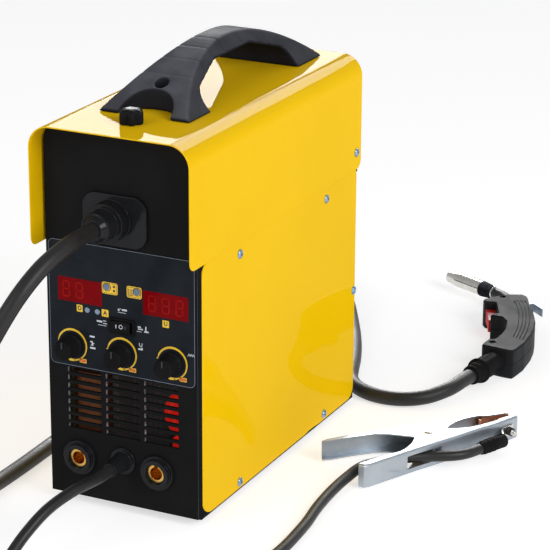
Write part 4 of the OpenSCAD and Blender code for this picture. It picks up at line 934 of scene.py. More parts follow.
labelPrint = dict(
    film=-179.5, plates=[(-11.9, 228.9, 17.0, 11.7), (14.4, 229.0, 16.0, 11.5)],
    squares=[
        ("D", -45.2, 203.6, 6.4, 7.0), ("A", -17.4, 203.2, 7.4, 7.2), ("U", 47.7, 203.1, 7.0, 7.0),
    ],
    dials=(-54.2, 0.0, 54.2), dialHeight=165.0, arc=(14.6, 16.5), sweep=(172.0, -113.0),
    arcWidth=[
        (0, 0.2), (0.07, 0.9), (0.3, 1.2), (0.6, 0.8), (0.82, 0.7), (0.9, 1.1), (0.96, 1.5),
        (1, 0.2),
    ],
    digits=[
        (-59.6, 221.2, 1), (-45.2, 221.2, 1), (-30.8, 221.2, 0), (33.3, 221.0, 1),
        (47.9, 221.0, 1), (62.4, 221.0, 1),
    ],
    marks=[
        (3.6, 209.6, 5.4, 1.8), (-2.6, 209.2, 1.6, 2.6), (-1.4, 210.2, 3.0, 0.6),
        (0.6, 206.6, 8.6, 0.5), (-23.6, 194.0, 6.0, 1.7), (-18.0, 195.2, 3.2, 0.8),
        (-17.6, 192.6, 4.2, 0.8), (-20.8, 190.4, 9.0, 0.5), (19.4, 195.4, 3.4, 1.4),
        (20.6, 193.4, 5.2, 1.3), (19.2, 190.8, 5.0, 0.5), (26.4, 194.6, 1.3, 4.6),
        (27.0, 191.6, 4.8, 1.5), (-32.1, 177.0, 5.4, 1.7), (-33.0, 171.6, 2.6, 1.5),
        (-31.9, 169.7, 1.6, 2.4), (-30.4, 170.2, 1.2, 0.8), (-32.4, 168.2, 2.8, 0.9),
        (-31.6, 165.4, 5.8, 1.8), (20.4, 173.2, 5.0, 1.7), (22.0, 174.4, 1.6, 0.9),
        (19.3, 178.3, 0.75, 2.2), (22.1, 178.3, 0.75, 2.2),
    ],
    rise=0.045, edge=(0, 206.5, 156.8, 125.8, 5.4, 0.5), tag=(11.5, 150.4),
    tagSizes=[(7.6, 4.2, 0.5), (6.2, 2.6, 0.4), (4.2, 0.45)], tick=(2.2, 149.9, 1.0, 2.4, 0, 28),
    digit=(8.6, 16.4, 1.5), digitCorner=0.5, digitGap=0.7, letterSize=0.82, letterSpread=0.16,
    plateCorner=2.0, squareCorner=0.7, sink=0.02, plateLine=(1.7, 1.4, 0.35),
    plateRings=[(-14.9, 229.9), (17.4, 230.0)], ring=(3.7, 4.3),
    plateMarks=[
        (-7.3, 231.1, 2.3, 2.2, 0.4), (-7.3, 227.0, 2.3, 2.2, 0.4), (8.4, 229.0, 0.6, 6.2),
        (10.0, 229.0, 0.6, 6.2), (11.6, 229.0, 0.6, 6.2), (13.2, 229.0, 0.6, 6.2),
        (10.8, 225.6, 5.6, 0.5),
    ],
    arrows=[(71.6, -24), (72.8, 24)], arrowSizes=(2.3, 176.4, 0.6, 3.2),
    hook=(20.7, 177.3, 1.05, 1.8, 180, 360, 12),
)


def flatBar(bm, x, z, width, height, corner=0.0, turn=0.0):
    made = bmesh.ops.create_grid(bm, x_segments=1, y_segments=1, size=0.5)["verts"]
    where = movedTo(x, 0, z) @ turned(90, "X") @ turned(turn, "Z")
    size = Matrix.Diagonal((width * mm, height * mm, 1, 1))
    bmesh.ops.transform(bm, verts=made, matrix=where @ size)
    if corner:
        bevel(bm, made, corner, 4, "VERTICES")


def flatFrame(bm, x, z, width, height, corner, line):
    known = set(bm.faces)
    flatBar(bm, x, z, width, height, corner)
    inner = [f for f in bm.faces if f not in known]
    inset(bm, inner, line)
    bmesh.ops.delete(bm, geom=inner, context="FACES")


def flatArc(bm, x, z, inner, outer, start, end, steps=56, widths=None):
    ends = [onCircle(r, start) for r in (inner, outer)]
    rim, edges = chain(bm, [(x + across, 0, z + up) for across, up in ends])
    known = set(bm.verts) - set(rim)
    bmesh.ops.spin(
        bm, geom=rim + edges, cent=(x * mm, 0, z * mm), axis=(0, -1, 0),
        angle=math.radians(end - start), steps=steps, use_merge=end - start == 360,
    )
    merge(bm, [v for v in bm.verts if v not in known])
    if not widths:
        return
    middle = (inner + outer) / 2 * mm
    for v in (v for v in bm.verts if v not in known):  # swells and thins along its length
        across, up = v.co.x - x * mm, v.co.z - z * mm
        r = math.hypot(across, up)
        turn = (math.degrees(math.atan2(up, across)) - start) / (end - start)
        t = turn % (360 / abs(end - start))
        for (t0, w0), (t1, w1) in zip(widths, widths[1:]):
            if t0 <= t <= t1 + 1e-6:
                k = (middle + (r - middle) * (w0 + (w1 - w0) * (t - t0) / (t1 - t0))) / r
        v.co.x, v.co.z = x * mm + across * k, z * mm + up * k


def flatLetter(bm, letter, x, z, size):
    line = bpy.data.curves.new("letter", "FONT")
    line.body, line.size, line.align_x, line.align_y = letter, size * mm, "CENTER", "CENTER"
    line.offset = labelPrint["letterSpread"] * mm
    sample = link("letter", line)
    shape = worked(sample)
    discard(sample)
    merge(shape)
    addShape(bm, shape, movedTo(x, 0, z) @ turned(90, "X"))


def raiseFlat(bm, back, front):
    for v in bm.verts:
        v.co.y = back * mm
    drawOut(bm, (0, front - back, 0))


def drawPlates(bm):
    p = labelPrint
    for x, z, w, h in p["plates"]:
        flatBar(bm, x, z, w, h, p["plateCorner"])
    for _, x, z, w, h in p["squares"]:
        flatBar(bm, x, z, w, h, p["squareCorner"])
    for x in p["dials"]:
        flatArc(bm, x, p["dialHeight"], *p["arc"], *p["sweep"], widths=p["arcWidth"])
        flatBar(bm, x + p["tag"][0], p["tag"][1], *p["tagSizes"][0])
        across, *tick = p["tick"]
        flatBar(bm, x + across, *tick)


def drawPlateMarks(bm):
    p = labelPrint
    less, corner, line = p["plateLine"]
    for x, z, w, h in p["plates"]:
        flatFrame(bm, x, z, w - less, h - less, corner, line)
    for x, z in p["plateRings"]:
        flatArc(bm, x, z, *p["ring"], 0, 360, 32)
    for mark in p["plateMarks"]:
        flatBar(bm, *mark)
    for letter, x, z, _, h in p["squares"]:
        flatLetter(bm, letter, x, z, h * p["letterSize"])


def drawTags(bm, size):
    across, z = labelPrint["tag"]
    for x in labelPrint["dials"]:
        flatBar(bm, x + across, z, *labelPrint["tagSizes"][size])


def drawMarks(bm):
    p = labelPrint
    for mark in p["marks"]:
        flatBar(bm, *mark)
    flatArc(bm, *p["hook"])
    step, z, w, h = p["arrowSizes"]
    for x, lean in p["arrows"]:
        for k in range(3):
            flatBar(bm, x + step * k, z, w, h, 0, lean)


def drawDigits(bm, wanted):
    width, height, stroke = labelPrint["digit"]
    corner, gap = labelPrint["digitCorner"], labelPrint["digitGap"] * stroke
    w, h = width / 2 - stroke / 2, height / 2 - stroke / 2
    for x, z, lit in labelPrint["digits"]:
        if lit != wanted:
            continue
        for up in (-h, 0, h):
            flatBar(bm, x, z + up, 2 * w - gap, stroke, corner)
        for side in (-w, w):
            for up in (-h / 2, h / 2):
                flatBar(bm, x + side, z + up, stroke, h - gap, corner)


def makeLabelPrint():
    film, rise, sink = (labelPrint[k] for k in ("film", "rise", "sink"))
    for name, finish, level, draw in (
        ("labelPlates", "yellowInk", 0, drawPlates),
        ("labelPlateMarks", "darkInk", 1, drawPlateMarks),
        ("labelTags", "redInk", 1, lambda bm: drawTags(bm, 1)),
        ("labelTagMarks", "yellowInk", 2, lambda bm: drawTags(bm, 2)),
        ("labelMarks", "whiteInk", 0, drawMarks),
        ("labelEdgeLine", "labelEdge", 0, lambda bm: flatFrame(bm, *labelPrint["edge"])),
        ("displayDigits", "redDigit", 1, lambda bm: drawDigits(bm, 1)),
        ("displayDigitsDim", "redDigitDim", 0, lambda bm: drawDigits(bm, 0)),
    ):
        bm = bmesh.new()
        draw(bm)
        raiseFlat(bm, film + sink, film - rise * (level + 1))
        shown(bm, name, finish, "control_label", 30, even=False)


makeLabelPrint()
print("label printed")


# turned, bent and cut shapes


def turnedShape(profile, steps=64, shape=None):
    # profile: radius and height; shape gives the radius at an angle
    bm = bmesh.new()
    line, edges = chain(bm, [(r, 0, h) for r, h in profile])
    bmesh.ops.spin(
        bm, geom=line + edges, cent=(0, 0, 0), axis=(0, 0, 1), angle=2 * math.pi,
        steps=steps, use_merge=True,
    )
    merge(bm)
    if shape:
        for v in bm.verts:
            r = math.hypot(v.co.x, v.co.y)
            if r > 1e-6:
                k = shape(math.atan2(v.co.y, v.co.x), r / mm, v.co.z / mm) * mm / r
                v.co.x, v.co.y = v.co.x * k, v.co.y * k
    return bm


def rodShape(radius, length, sides=32, edge=0.3):
    return turnedShape([
        (0, 0), (radius - edge, 0), (radius, edge), (radius, length - edge),
        (radius - edge, length), (0, length),
    ], sides)


def tubeShape(points, radius, roundness=3):
    places = [[c * mm for c in q] for q in points]
    sample = link("tube", polyCurve("tube", places, radius * mm, roundness))
    bm = worked(sample)
    discard(sample)
    merge(bm)
    return bm


def barShape(size, edge=0.0):
    bm = bmesh.new()
    bmesh.ops.create_cube(bm, size=1.0)
    bmesh.ops.transform(bm, verts=bm.verts, matrix=scaled(*size))
    if edge:
        bevel(bm, bm.edges[:], edge)
    return bm


def plateShape(outline, z0, z1, corner=0.0, segments=3):
    # gives the shape and its top faces
    bm = bmesh.new()
    bm.faces.new([bm.verts.new((x * mm, y * mm, z0 * mm)) for x, y in outline])
    if corner:
        bevel(bm, bm.verts[:], corner, segments, "VERTICES")
    top = drawOut(bm, (0, 0, z1 - z0))
    bmesh.ops.recalc_face_normals(bm, faces=bm.faces)
    return bm, top


def cutFrom(bm, cutter):
    for source in (bm, cutter):
        bmesh.ops.recalc_face_normals(source, faces=source.faces)
    body, tool = link("body", asMesh(bm, "body")), link("cutter", asMesh(cutter, "cutter"))
    cut = body.modifiers.new("cut", "BOOLEAN")
    cut.operation, cut.solver, cut.object = "DIFFERENCE", "EXACT", tool
    cut.use_self = True
    result = worked(body)
    discard(body, tool)
    return result


# dials and lock knob

dialKnob = dict(
    back=-180.2, height=165.0, places=dict(dial_left=-54.2, dial_centre=0.0, dial_right=54.2),
    profile=[
        (0, 0), (11.2, 0), (11.8, 0.3), (12, 0.9), (12, 2.9), (11.7, 3.5), (11.0, 3.9),
        (10.6, 4.3), (10.45, 5.2), (9.95, 13), (9.6, 17.6), (9.3, 18.7), (8.6, 19.35),
        (7.7, 19.45), (7.2, 19.1), (6.6, 18.9), (3, 18.75), (0, 18.7),
    ],
    sides=160, flutes=20, fluteDepth=0.5, fluted=(9.2, 5, 18),  # least radius, then from and to
    line=(5.4, 1.3, 6.6, 0.4), lineFrom=18.6, lineTo=19.9,
)


def makeDials():
    d = dialKnob
    least, low, high = d["fluted"]

    def flute(angle, r, h):
        if r < least or h < low or h > high:
            return r
        return r - d["fluteDepth"] * (0.5 + 0.5 * math.cos(d["flutes"] * angle)) ** 2

    for node, x in d["places"].items():
        name = node.replace("dial_", "dialKnob")
        where = movedTo(x, d["back"], d["height"]) @ turned(90, "X")
        knob = joined((turnedShape(d["profile"], d["sides"], flute), where))
        shown(knob, name, "dialBlack", node, stands=True, even=False)
        mark = bmesh.new()
        up, w, h, corner = d["line"]
        flatBar(mark, x, d["height"] + up, w, h, corner)
        raiseFlat(mark, d["back"] - d["lineFrom"], d["back"] - d["lineTo"])
        shown(mark, name + "Line", "dialLine", node, 30, even=False)


lockKnob = dict(
    at=(0, -154.5, 385.3), lobes=6, valley=0.26, stud=7.6,
    profile=[
        (0, 0), (10.4, 0), (11.6, 0.5), (12.2, 1.6), (12.45, 4), (12.3, 8.4), (11.8, 10.8),
        (10.6, 12.5), (8.4, 13.7), (5, 14.3), (2.4, 14.45), (0, 14.5),
    ],
    sides=144, top=386, widest=12.5, dip=1.3, studEdge=(0.6, 0.8),
)


def makeLockKnob():
    k = lockKnob

    def lobe(angle, r, h):
        dip = (0.5 - 0.5 * math.cos(k["lobes"] * angle)) ** k["dip"]
        return r * (1 - k["valley"] * dip * (r / k["widest"]) ** 2)

    low, r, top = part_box("lock_knob")[0][2] / mm, k["stud"] / 2, k["top"]
    inwards, up = k["studEdge"]
    x, y, _ = k["at"]
    stud = [(0, low), (r - inwards, low), (r, low + up), (r, top), (0, top)]
    knob = joined(
        (turnedShape(k["profile"], k["sides"], lobe), movedTo(*k["at"])),
        (turnedShape(stud, 32), movedTo(x, y, 0)),
    )
    shown(knob, "lockKnobLobed", "knobBlack", "lock_knob", 50, stands=True, even=False)


makeDials()
makeLockKnob()
print("dials and lock knob made")


# screws with cross recesses

caseScrews = dict(
    side=[(-92, 251), (103, 251), (174.4, 129.5), (103, 14), (-92, 14)], seat=81.0,
    pivot=(167, 284), pivotSeat=85.1, shank=4.8, recess=(5.4, 1.25, 1.7),
    head=[
        (4.75, 0), (4.75, 0.35), (4.6, 0.8), (4.1, 1.35), (3.2, 1.85), (2.0, 2.22), (0.9, 2.37),
        (0, 2.4),
    ],
    length=6.5, pivotFrom=74.8, sleeveAt=79.85, turns=(17, 23, 31), under=4.6, shankEdge=0.5,
    recessTop=3.0, foot=(0.45, 0.6, 1),
    sleeve=[(2.7, 0), (4.75, 0), (4.75, 3.9), (2.7, 3.9), (2.7, 0)],
)


def crossCutter(length, width, depth, top):
    bars = []
    for turn in (0, 90):
        bar = barShape((length, width, depth))
        foot = [v for v in bar.verts if v.co.z < 0]
        bmesh.ops.scale(bar, verts=foot, vec=caseScrews["foot"])
        bars.append((bar, movedTo(0, 0, top - depth / 2) @ turned(turn, "Z")))
    return joined(*bars)


def screwShape(length):
    s = caseScrews
    r, edge = s["shank"] / 2, s["shankEdge"]
    shank = [(0, -length), (r - edge, -length), (r, edge - length), (r, 0), (s["under"], 0)]
    long, wide, deep = s["recess"]
    top = s["recessTop"]
    cutter = crossCutter(long, wide, deep + top - s["head"][-1][1], top)
    return cutFrom(turnedShape(shank + s["head"], 40), cutter)


def makeCaseScrews():
    s = caseScrews
    first, step, last = s["turns"]
    pieces = []
    for way in (-1, 1):

        def outwards(x, y, z, turn=0):
            return movedTo(way * x, y, z) @ turned(way * 90, "Y") @ turned(turn, "Z")

        for i, at in enumerate(s["side"]):
            where = outwards(s["seat"], *at, first + step * i)
            pieces.append((screwShape(s["length"]), where))
        pivot = screwShape(s["pivotSeat"] - s["pivotFrom"])
        pieces.append((pivot, outwards(s["pivotSeat"], *s["pivot"], last)))
        sleeve = turnedShape(s["sleeve"], 40)
        pieces.append((sleeve, outwards(s["sleeveAt"], *s["pivot"])))
    shown(joined(*pieces), "crossScrews", "blueZinc", "case_screws", 35, stands=True, even=False)


makeCaseScrews()
print("screws made")


# torch, lying on its side; its own frame has Y along the handle

torchBody = dict(
    middle=(169, 421, 17), turn=26.0, half=17.0, step=2.3, chamfer=1.3, parting=0.12, corner=2.3,
    outline=[
        (1.4, 73.5), (20, 73.5), (25.5, 66), (25.5, 46), (27.4, 19), (26.7, -15), (23.4, -37),
        (17.8, -59.5), (7.7, -86.3), (-3, -105), (-7.5, -111.5), (-14.7, -108.7), (-39.3, -93),
        (-40.5, -89.5), (-31.5, -73.4), (-24.8, -74), (-17, -59.5), (-10.2, -41.6), (-6.9, -17),
        (-10.2, -3.5), (-23.7, 3.7), (-20.3, 7.7), (-13.5, 9), (-13.5, 45), (-25.5, 48),
        (-27.7, 55.8), (-23.7, 59.2),
    ],
    recesses=[(-3.6, 65), (-27.9, -84)], pin=(-8.5, 45.5),
    grooves=[(22.4, 50, -77), (18.3, 53, -75), (14.2, 53, -72), (10.1, 50, -69)],
    grooveBow=0.00178, grooveRadius=0.8, neck=(8.1, 53, 12.6), boot=(-27, -100.85, 145.7, 25.0),
    neckCentre=(-41.9, 86.6), neckBend=50.0, nozzleAngle=39.5, neckStraight=11.2, collar=16.6,
    triggerRoom=((9.6, 41.4, 15.4), (-8.75, 31, 0)), pinRadius=1.5,
    screwHead=[(0, 0), (3.3, 0), (3.3, 0.9), (2.9, 1.5), (1.8, 1.9), (0, 2.0)], screwAt=11.9,
    collarProfile=[
        (0, -1.2), (6.9, -1.2), (7.6, -0.7), (8.0, 0.3), (8.2, 1.6), (8.35, 4), (8.0, 4.4),
        (8.0, 5.2), (8.5, 5.6), (9.0, 11.4), (9.35, 15.2), (9.35, 16.3), (9.1, 16.6), (0, 16.6),
    ],
    clip=[(6.35, 0), (6.75, 0), (6.75, 2.2), (6.35, 2.2), (6.35, 0)], clipAt=-4.2,
    clipBlock=((2.4, 3.0, 2.0), 0.3), clipBlockAt=(0, -7.6, -3.1), recessShape=(4.0, 6.0, 36, 0.2),
    recessDepth=5, screwRecess=(3.8, 0.9, 1.4, 2.4), grooveMiddle=19, grooveSteps=24,
    edge=(0.7, 3), rim=(0.35, 1), hole=(30, 40, 0.1), bootHoleBack=-8, neckFrom=(60, 70, 80),
    neckSteps=12,
    nozzleProfile=[
        (7.6, 0), (8.7, 0), (9, 0.3), (9, 6.4), (8.55, 6.9), (8.55, 7.7), (9, 8.2), (9, 13.4),
        (8.55, 13.9), (8.55, 14.7), (9, 15.2), (9, 39.4), (8.85, 40.8), (7, 56.2), (6.8, 56.6),
        (6, 56.6), (5.8, 56.3), (6, 39.6), (7.6, 33.6), (7.6, 0),
    ],
)


def onTorch():
    return movedTo(*torchBody["middle"]) @ turned(torchBody["turn"], "Z")


def torchHandleHalf():
    t = torchBody
    shoulder = t["half"] - t["step"]
    bm, top = plateShape(t["outline"], t["parting"], shoulder, t["corner"], 4)
    inset(bm, top, t["chamfer"], t["step"])
    bevel(bm, [
        e for e in sharpEdges(bm, 20) if all(v.co.z > (shoulder - 0.1) * mm for v in e.verts)
    ], *t["edge"])
    rim = [e for e in sharpEdges(bm, 60) if all(v.co.z < 0.2 * mm for v in e.verts)]
    bevel(bm, rim, *t["rim"])
    cutters = []
    for x, start, end in t["grooves"]:
        n = t["grooveSteps"]
        ys = [start + (end - start) * i / n for i in range(n + 1)]
        line = [
            (x - t["grooveBow"] * (y - t["grooveMiddle"]) ** 2, y, t["half"]) for y in ys
        ]
        cutters.append((tubeShape(line, t["grooveRadius"], 2), Matrix()))
    for x, y in t["recesses"]:
        where = movedTo(x, y, t["half"] - t["recessDepth"])
        cutters.append((rodShape(*t["recessShape"]), where))
    size, at = t["triggerRoom"]
    cutters.append((barShape(size), movedTo(*at)))
    x, y, d = t["neck"]
    cutters.append((rodShape(d / 2, *t["hole"]), lyingAt(x, y)))
    x, y, turn, d = t["boot"]
    where = lyingAt(x, y, turn) @ movedTo(0, 0, t["bootHoleBack"])
    cutters.append((rodShape(d / 2, *t["hole"]), where))
    return cutFrom(bm, joined(*cutters))


def makeTorchHandle():
    t = torchBody
    shown(
        joined((torchHandleHalf(), onTorch())), "torchHandleUpper", "torchBlack",
        "torch_handle_upper", 32, stands=True,
    )
    pin = rodShape(t["pinRadius"], 20, 20)
    shown(
        joined((torchHandleHalf(), onTorch() @ flipped(-1)),
               (pin, onTorch() @ movedTo(*t["pin"], -10))),
        "torchHandleLower", "torchBlack", "torch_handle_lower", 32, stands=True,
    )
    shown(joined(*(
        (cutFrom(turnedShape(t["screwHead"], 28), crossCutter(*t["screwRecess"])),
         onTorch() @ flipped(side) @ movedTo(x, y, t["screwAt"]) @ turned(28, "Z"))
        for side in (-1, 1) for x, y in t["recesses"]
    )), "torchScrews", "steelBright", "torch_handle_upper", slot="zinc")


def makeTorchNeck():
    t = torchBody
    x, start, d = t["neck"]
    angle, n, (cx, cy) = t["nozzleAngle"], t["neckSteps"], t["neckCentre"]
    path = [(x, y, 0) for y in (start, *t["neckFrom"])]
    for i in range(n + 1):
        across, along = onCircle(t["neckBend"], angle * i / n)
        path.append((cx + across, cy + along, 0))
    way = pointing(angle) * t["neckStraight"]
    path.append((path[-1][0] + way.x, path[-1][1] + way.y, 0))
    end = onTorch() @ lyingAt(*path[-1][:2], angle)
    sleeve = joined((tubeShape(path, d / 2, 10), onTorch()))
    shown(sleeve, "torchNeckSleeve", "neckSleeve", "torch_neck", 50, stands=True)
    collar = joined((turnedShape(t["collarProfile"]), end))
    shown(collar, "torchCollar", "mouldedBlack", "torch_neck", even=False)
    clip = joined(
        (turnedShape(t["clip"], 48), end @ movedTo(0, 0, t["clipAt"])),
        (barShape(*t["clipBlock"]), end @ movedTo(*t["clipBlockAt"])),
    )
    shown(clip, "torchNeckClip", "steelBright", "torch_neck", slot="zinc")
    nozzle = joined((turnedShape(t["nozzleProfile"], 96), end @ movedTo(0, 0, t["collar"])))
    shown(nozzle, "torchNozzleTurned", "nickel", "torch_nozzle", 30, stands=True, even=False)


makeTorchHandle()
makeTorchNeck()
print("torch made")


# earth clamp, lying on its side

clampParts = dict(
    middle=(210, 80, 14.2), turn=26.0, lowerHalf=12.7, upperHalf=10.7, spine=2.8, sheet=1.5,
    upperEdge=[
        (86.1, 63.9), (80.4, 64.6), (58.8, 56.7), (37.3, 47.4), (8.6, 35.9), (-20.1, 25.1),
        (-53.1, 11.5), (-104.8, -12.9), (-109.5, -17.5),
    ],
    upperUnder=[
        (-108.3, -21.5), (-99, -18.7), (-77.5, -9.3), (-56, -1.4), (-41.6, -0.7), (-28.7, -3.6),
        (-14.3, -7.6), (-6.5, -11.4), (0, -12.6), (7, -10.8), (12, -5), (15.5, 5), (17.5, 12),
        (23, 23), (30.1, 32.3), (40.2, 40.9), (53.1, 48.1), (66, 49.5), (86.1, 57),
    ],
    lowerEdge=[
        (94.7, 44.5), (71.8, 23.7), (51.7, 8.6), (30.1, -9.3), (8.6, -25.8), (-14.3, -43),
        (-34.4, -59.6), (-63.1, -83.2), (-68.9, -85.4), (-74.2, -82.5),
    ],
    lowerUpper=[
        (-73, -80), (-51.7, -64), (-31.6, -50), (-25.8, -43.8), (-18.7, -29.4), (-15, -15),
        (-13, -3.6), (-7.6, 7.5), (0, 11.4), (8.6, 11.6), (17.2, 10.3), (28.7, 9.6), (41.6, 12.9),
        (51.7, 17.9), (64.6, 26.5), (72, 31.5), (73.9, 35.2), (90.4, 47.4),
    ],
    upperBolt=(69.4, 60.6, 20.1, 0.1), lowerBolt=(84.1, 34.9, 222.3, 2.3), back=8.25,
    upperJaw=[(56, 42.5), (55.6, 48.5), (58.5, 51.4), (83, 60.4), (86.6, 58.4), (88, 50)],
    lowerJaw=[(68, 31), (72.5, 32.4), (89, 47.4), (91.4, 49.4)],
    lug=[(89.4, 38), (79.4, 28.9), (77.4, 24.5), (77, 18), (77, 10)],
    strap=[(71, 26), (62, 22.4), (51.7, 17), (42, 13.2), (34, 13), (27, 17.5), (23.5, 25)],
    boot=(52, -13, 0.743, 0.669), bolt=(3.0, 17),
    boltHead=[(0, -3), (2.6, -3), (3.9, -2.6), (4.55, -1.7), (4.75, -0.6), (4.75, 0), (0, 0)],
    bootProfile=[
        (0, 0), (6.2, 0), (6.6, 0.5), (6.6, 3.4), (7.2, 3.9), (7.2, 6.1), (6.7, 6.6), (6.8, 9.4),
        (7.4, 9.9), (7.4, 12.1), (6.9, 12.6), (7.0, 15.4), (7.5, 15.9), (7.5, 18.1),
        (7.1, 18.6), (7.45, 33.2), (7.1, 34), (0, 34),
    ],
    rivetDome=[
        (0, -0.6), (4.6, -0.6), (5.3, 0.0), (5.2, 0.35), (4.5, 0.85), (3.3, 1.22), (1.7, 1.43),
        (0, 1.5),
    ],
    spring=dict(radius=6.5, wire=0.8, low=-7.6, height=15.2, turns=8), nut=(10, 4),
    jawSize=(2.4, 16), strapSize=(1.6, 12), lugSize=(2.0, 12), teeth=6, tooth=(1.7, 6, 1.7),
    boltHole=(3.2, 20, 32, 0.05), rivetHoles=(3.02, 3.1), rivetHole=(60, 32, 0.05),
    jawGap=((36, 60, 14), (-6, -30, 0)), rivet=3.0, leverEdge=(0.2, 1), roomCorner=(1.2, 3),
    openEnds=6, openUnder=3,
    thread=dict(pitch=1.0, start=0.3, stop=1.1, depth=0.45, end=0.5, tip=0.9),
)


def onClamp():
    return movedTo(*clampParts["middle"]) @ turned(clampParts["turn"], "Z")


def sideways(path, i, reach):
    a, b = Vector(path[max(i - 1, 0)]), Vector(path[min(i + 1, len(path) - 1)])
    d = (b - a).normalized()
    return (path[i][0] - d.y * reach, path[i][1] + d.x * reach)


def levelEdges(bm, points):
    # sharp edges that run flat along the given points
    return [
        e for e in sharpEdges(bm, 60)
        if abs(e.verts[0].co.z - e.verts[1].co.z) < 1e-7
        and all(any((v.co.xy - Vector(q) * mm).length < 1e-6 for q in points) for v in e.verts)
    ]


def makeLever(name, node, half, outer, under, inward, cutters):
    # a pressed channel: rounded along its back, open underneath
    c = clampParts
    bm, _ = plateShape(outer + under, -half, half)
    bevel(bm, levelEdges(bm, outer), c["spine"], 5)
    room = half - c["sheet"]
    inner = [sideways(outer, i, inward * c["sheet"]) for i in range(len(outer))]
    ends = []
    for end, before, at in ((0, 1, inner[0]), (-1, -2, inner[-1])):
        past = (Vector(outer[end]) - Vector(outer[before])).normalized() * c["openEnds"]
        ends.append((at[0] + past.x, at[1] + past.y))
    wide = [sideways(under, i, -inward * c["openUnder"]) for i in range(len(under))]
    hollow, _ = plateShape([ends[0]] + inner + [ends[1]] + wide, -room, room)
    bevel(hollow, levelEdges(hollow, inner), *c["roomCorner"])
    bm = cutFrom(bm, joined((hollow, Matrix()), *cutters))
    bevel(bm, sharpEdges(bm, 55), *c["leverEdge"])
    shown(joined((bm, onClamp())), name, "brightZinc", node, 26, stands=True)


def makeLevers():
    c = clampParts

    def hole(place):
        x, y, turn, _ = place
        shape = rodShape(*c["boltHole"])
        return shape, lyingAt(x, y, turn) @ movedTo(0, 0, -c["boltHole"][1] / 2)

    def rivetHole(radius):
        return rodShape(radius, *c["rivetHole"]), movedTo(0, 0, -c["rivetHole"][0] / 2)

    lowerHole, upperHole = c["rivetHoles"]
    size, at = c["jawGap"]
    makeLever(
        "clampLeverLower", "clamp_lower_lever", c["lowerHalf"], c["lowerEdge"],
        c["lowerUpper"], -1,
        [rivetHole(lowerHole), (barShape(size), movedTo(*at)), hole(c["lowerBolt"])],
    )
    makeLever(
        "clampLeverUpper", "clamp_upper_lever", c["upperHalf"], c["upperEdge"],
        c["upperUnder"], 1, [rivetHole(upperHole), hole(c["upperBolt"])],
    )


def smoothPath(path, n=5):
    p = [Vector((*q, 0)) for q in path]
    ends = [2 * p[0] - p[1]] + p + [2 * p[-1] - p[-2]]
    out = [
        blended(*four, k / n)
        for four in zip(ends, ends[1:], ends[2:], ends[3:]) for k in range(n)
    ]
    return [(v.x, v.y) for v in out + [p[-1]]]


def stripShape(path, thickness, width, edge=0.35):
    n, half = len(path), thickness / 2
    outline = [sideways(path, i, half) for i in range(n)]
    outline += [sideways(path, i, -half) for i in reversed(range(n))]
    bm, _ = plateShape(outline, -width / 2, width / 2)
    bevel(bm, sharpEdges(bm, 50), edge)
    return bm


def toothed(bm, before, end, width):
    a, b, n = Vector(before), Vector(end), clampParts["teeth"]
    turn = math.degrees(math.atan2((b - a).y, (b - a).x))
    return cutFrom(bm, joined(*(
        (barShape(clampParts["tooth"]),
         movedTo(b.x, b.y, -width / 2 + width * (k + 0.5) / n) @ turned(turn, "Z")
         @ turned(45, "Y"))
        for k in range(n)
    )))


def jawShape(path):
    thickness, width = clampParts["jawSize"]
    bm = toothed(stripShape(smoothPath(path, 4), thickness, width), path[-2], path[-1], width)
    return toothed(bm, path[1], path[0], width)


def threadedRod(radius, low, high):
    t = clampParts["thread"]
    end = radius - t["end"]
    profile = [(0, low), (end, low)]
    h = low + t["start"]
    while h < high - t["stop"]:
        profile += [(radius - t["depth"], h), (radius, h + t["pitch"] / 2)]
        h += t["pitch"]
    profile += [(end, high - t["start"]), (radius - t["tip"], high), (0, high)]
    return turnedShape(profile, 28)


def hexNut(across, height, edge=0.45):
    bm = bmesh.new()
    r = across / 2 * mm
    bmesh.ops.create_cone(
        bm, cap_ends=True, segments=6, radius1=r, radius2=r, depth=height * mm
    )
    bmesh.ops.translate(bm, verts=bm.verts[:], vec=(0, 0, height / 2 * mm))
    bevel(bm, sharpEdges(bm, 70), edge)
    return bm


def makeClampFittings():
    c = clampParts
    radius, length = c["bolt"]
    back = -c["back"]
    for side in ("upper", "lower"):
        node = "clamp_jaw_" + side
        x, y, turn, lift = c[side + "Bolt"]
        where = onClamp() @ lyingAt(x, y, turn) @ movedTo(0, 0, lift)
        bolt = joined(
            (threadedRod(radius, back, length + back), where),
            (turnedShape(c["boltHead"], 36), where @ movedTo(0, 0, back)),
        )
        shown(bolt, side + "BoltThreaded", "steelBright", node, 30, "zinc")
        nut = joined((hexNut(*c["nut"]), where))
        shown(nut, side + "BoltNut", "blackOxide", node, 30, "zinc")
    jaw = joined((jawShape(c["upperJaw"]), onClamp()))
    shown(jaw, "upperJawToothed", "copperJaw", "clamp_jaw_upper", 30, stands=True)
    jaw = joined(
        (jawShape(c["lowerJaw"]), onClamp()),
        (stripShape(smoothPath(c["strap"], 5), *c["strapSize"]), onClamp()),
    )
    shown(jaw, "lowerJawToothed", "copperJaw", "clamp_jaw_lower", 30, stands=True)
    x, y, dx, dy = c["boot"]
    facing = lyingAt(x, y, math.degrees(math.atan2(dy, dx)) - 90)
    sleeve = joined((turnedShape(c["bootProfile"], 48), onClamp() @ facing))
    boot = shown(
        sleeve, "clampBoot", "blackRubber", "clamp_jaw_lower", 34, "rubber", even=False
    )
    lug = joined((stripShape(smoothPath(c["lug"], 4), *c["lugSize"]), onClamp()))
    shown(lug, "leadLug", "steelBright", "clamp_jaw_lower", slot="zinc")
    return boot


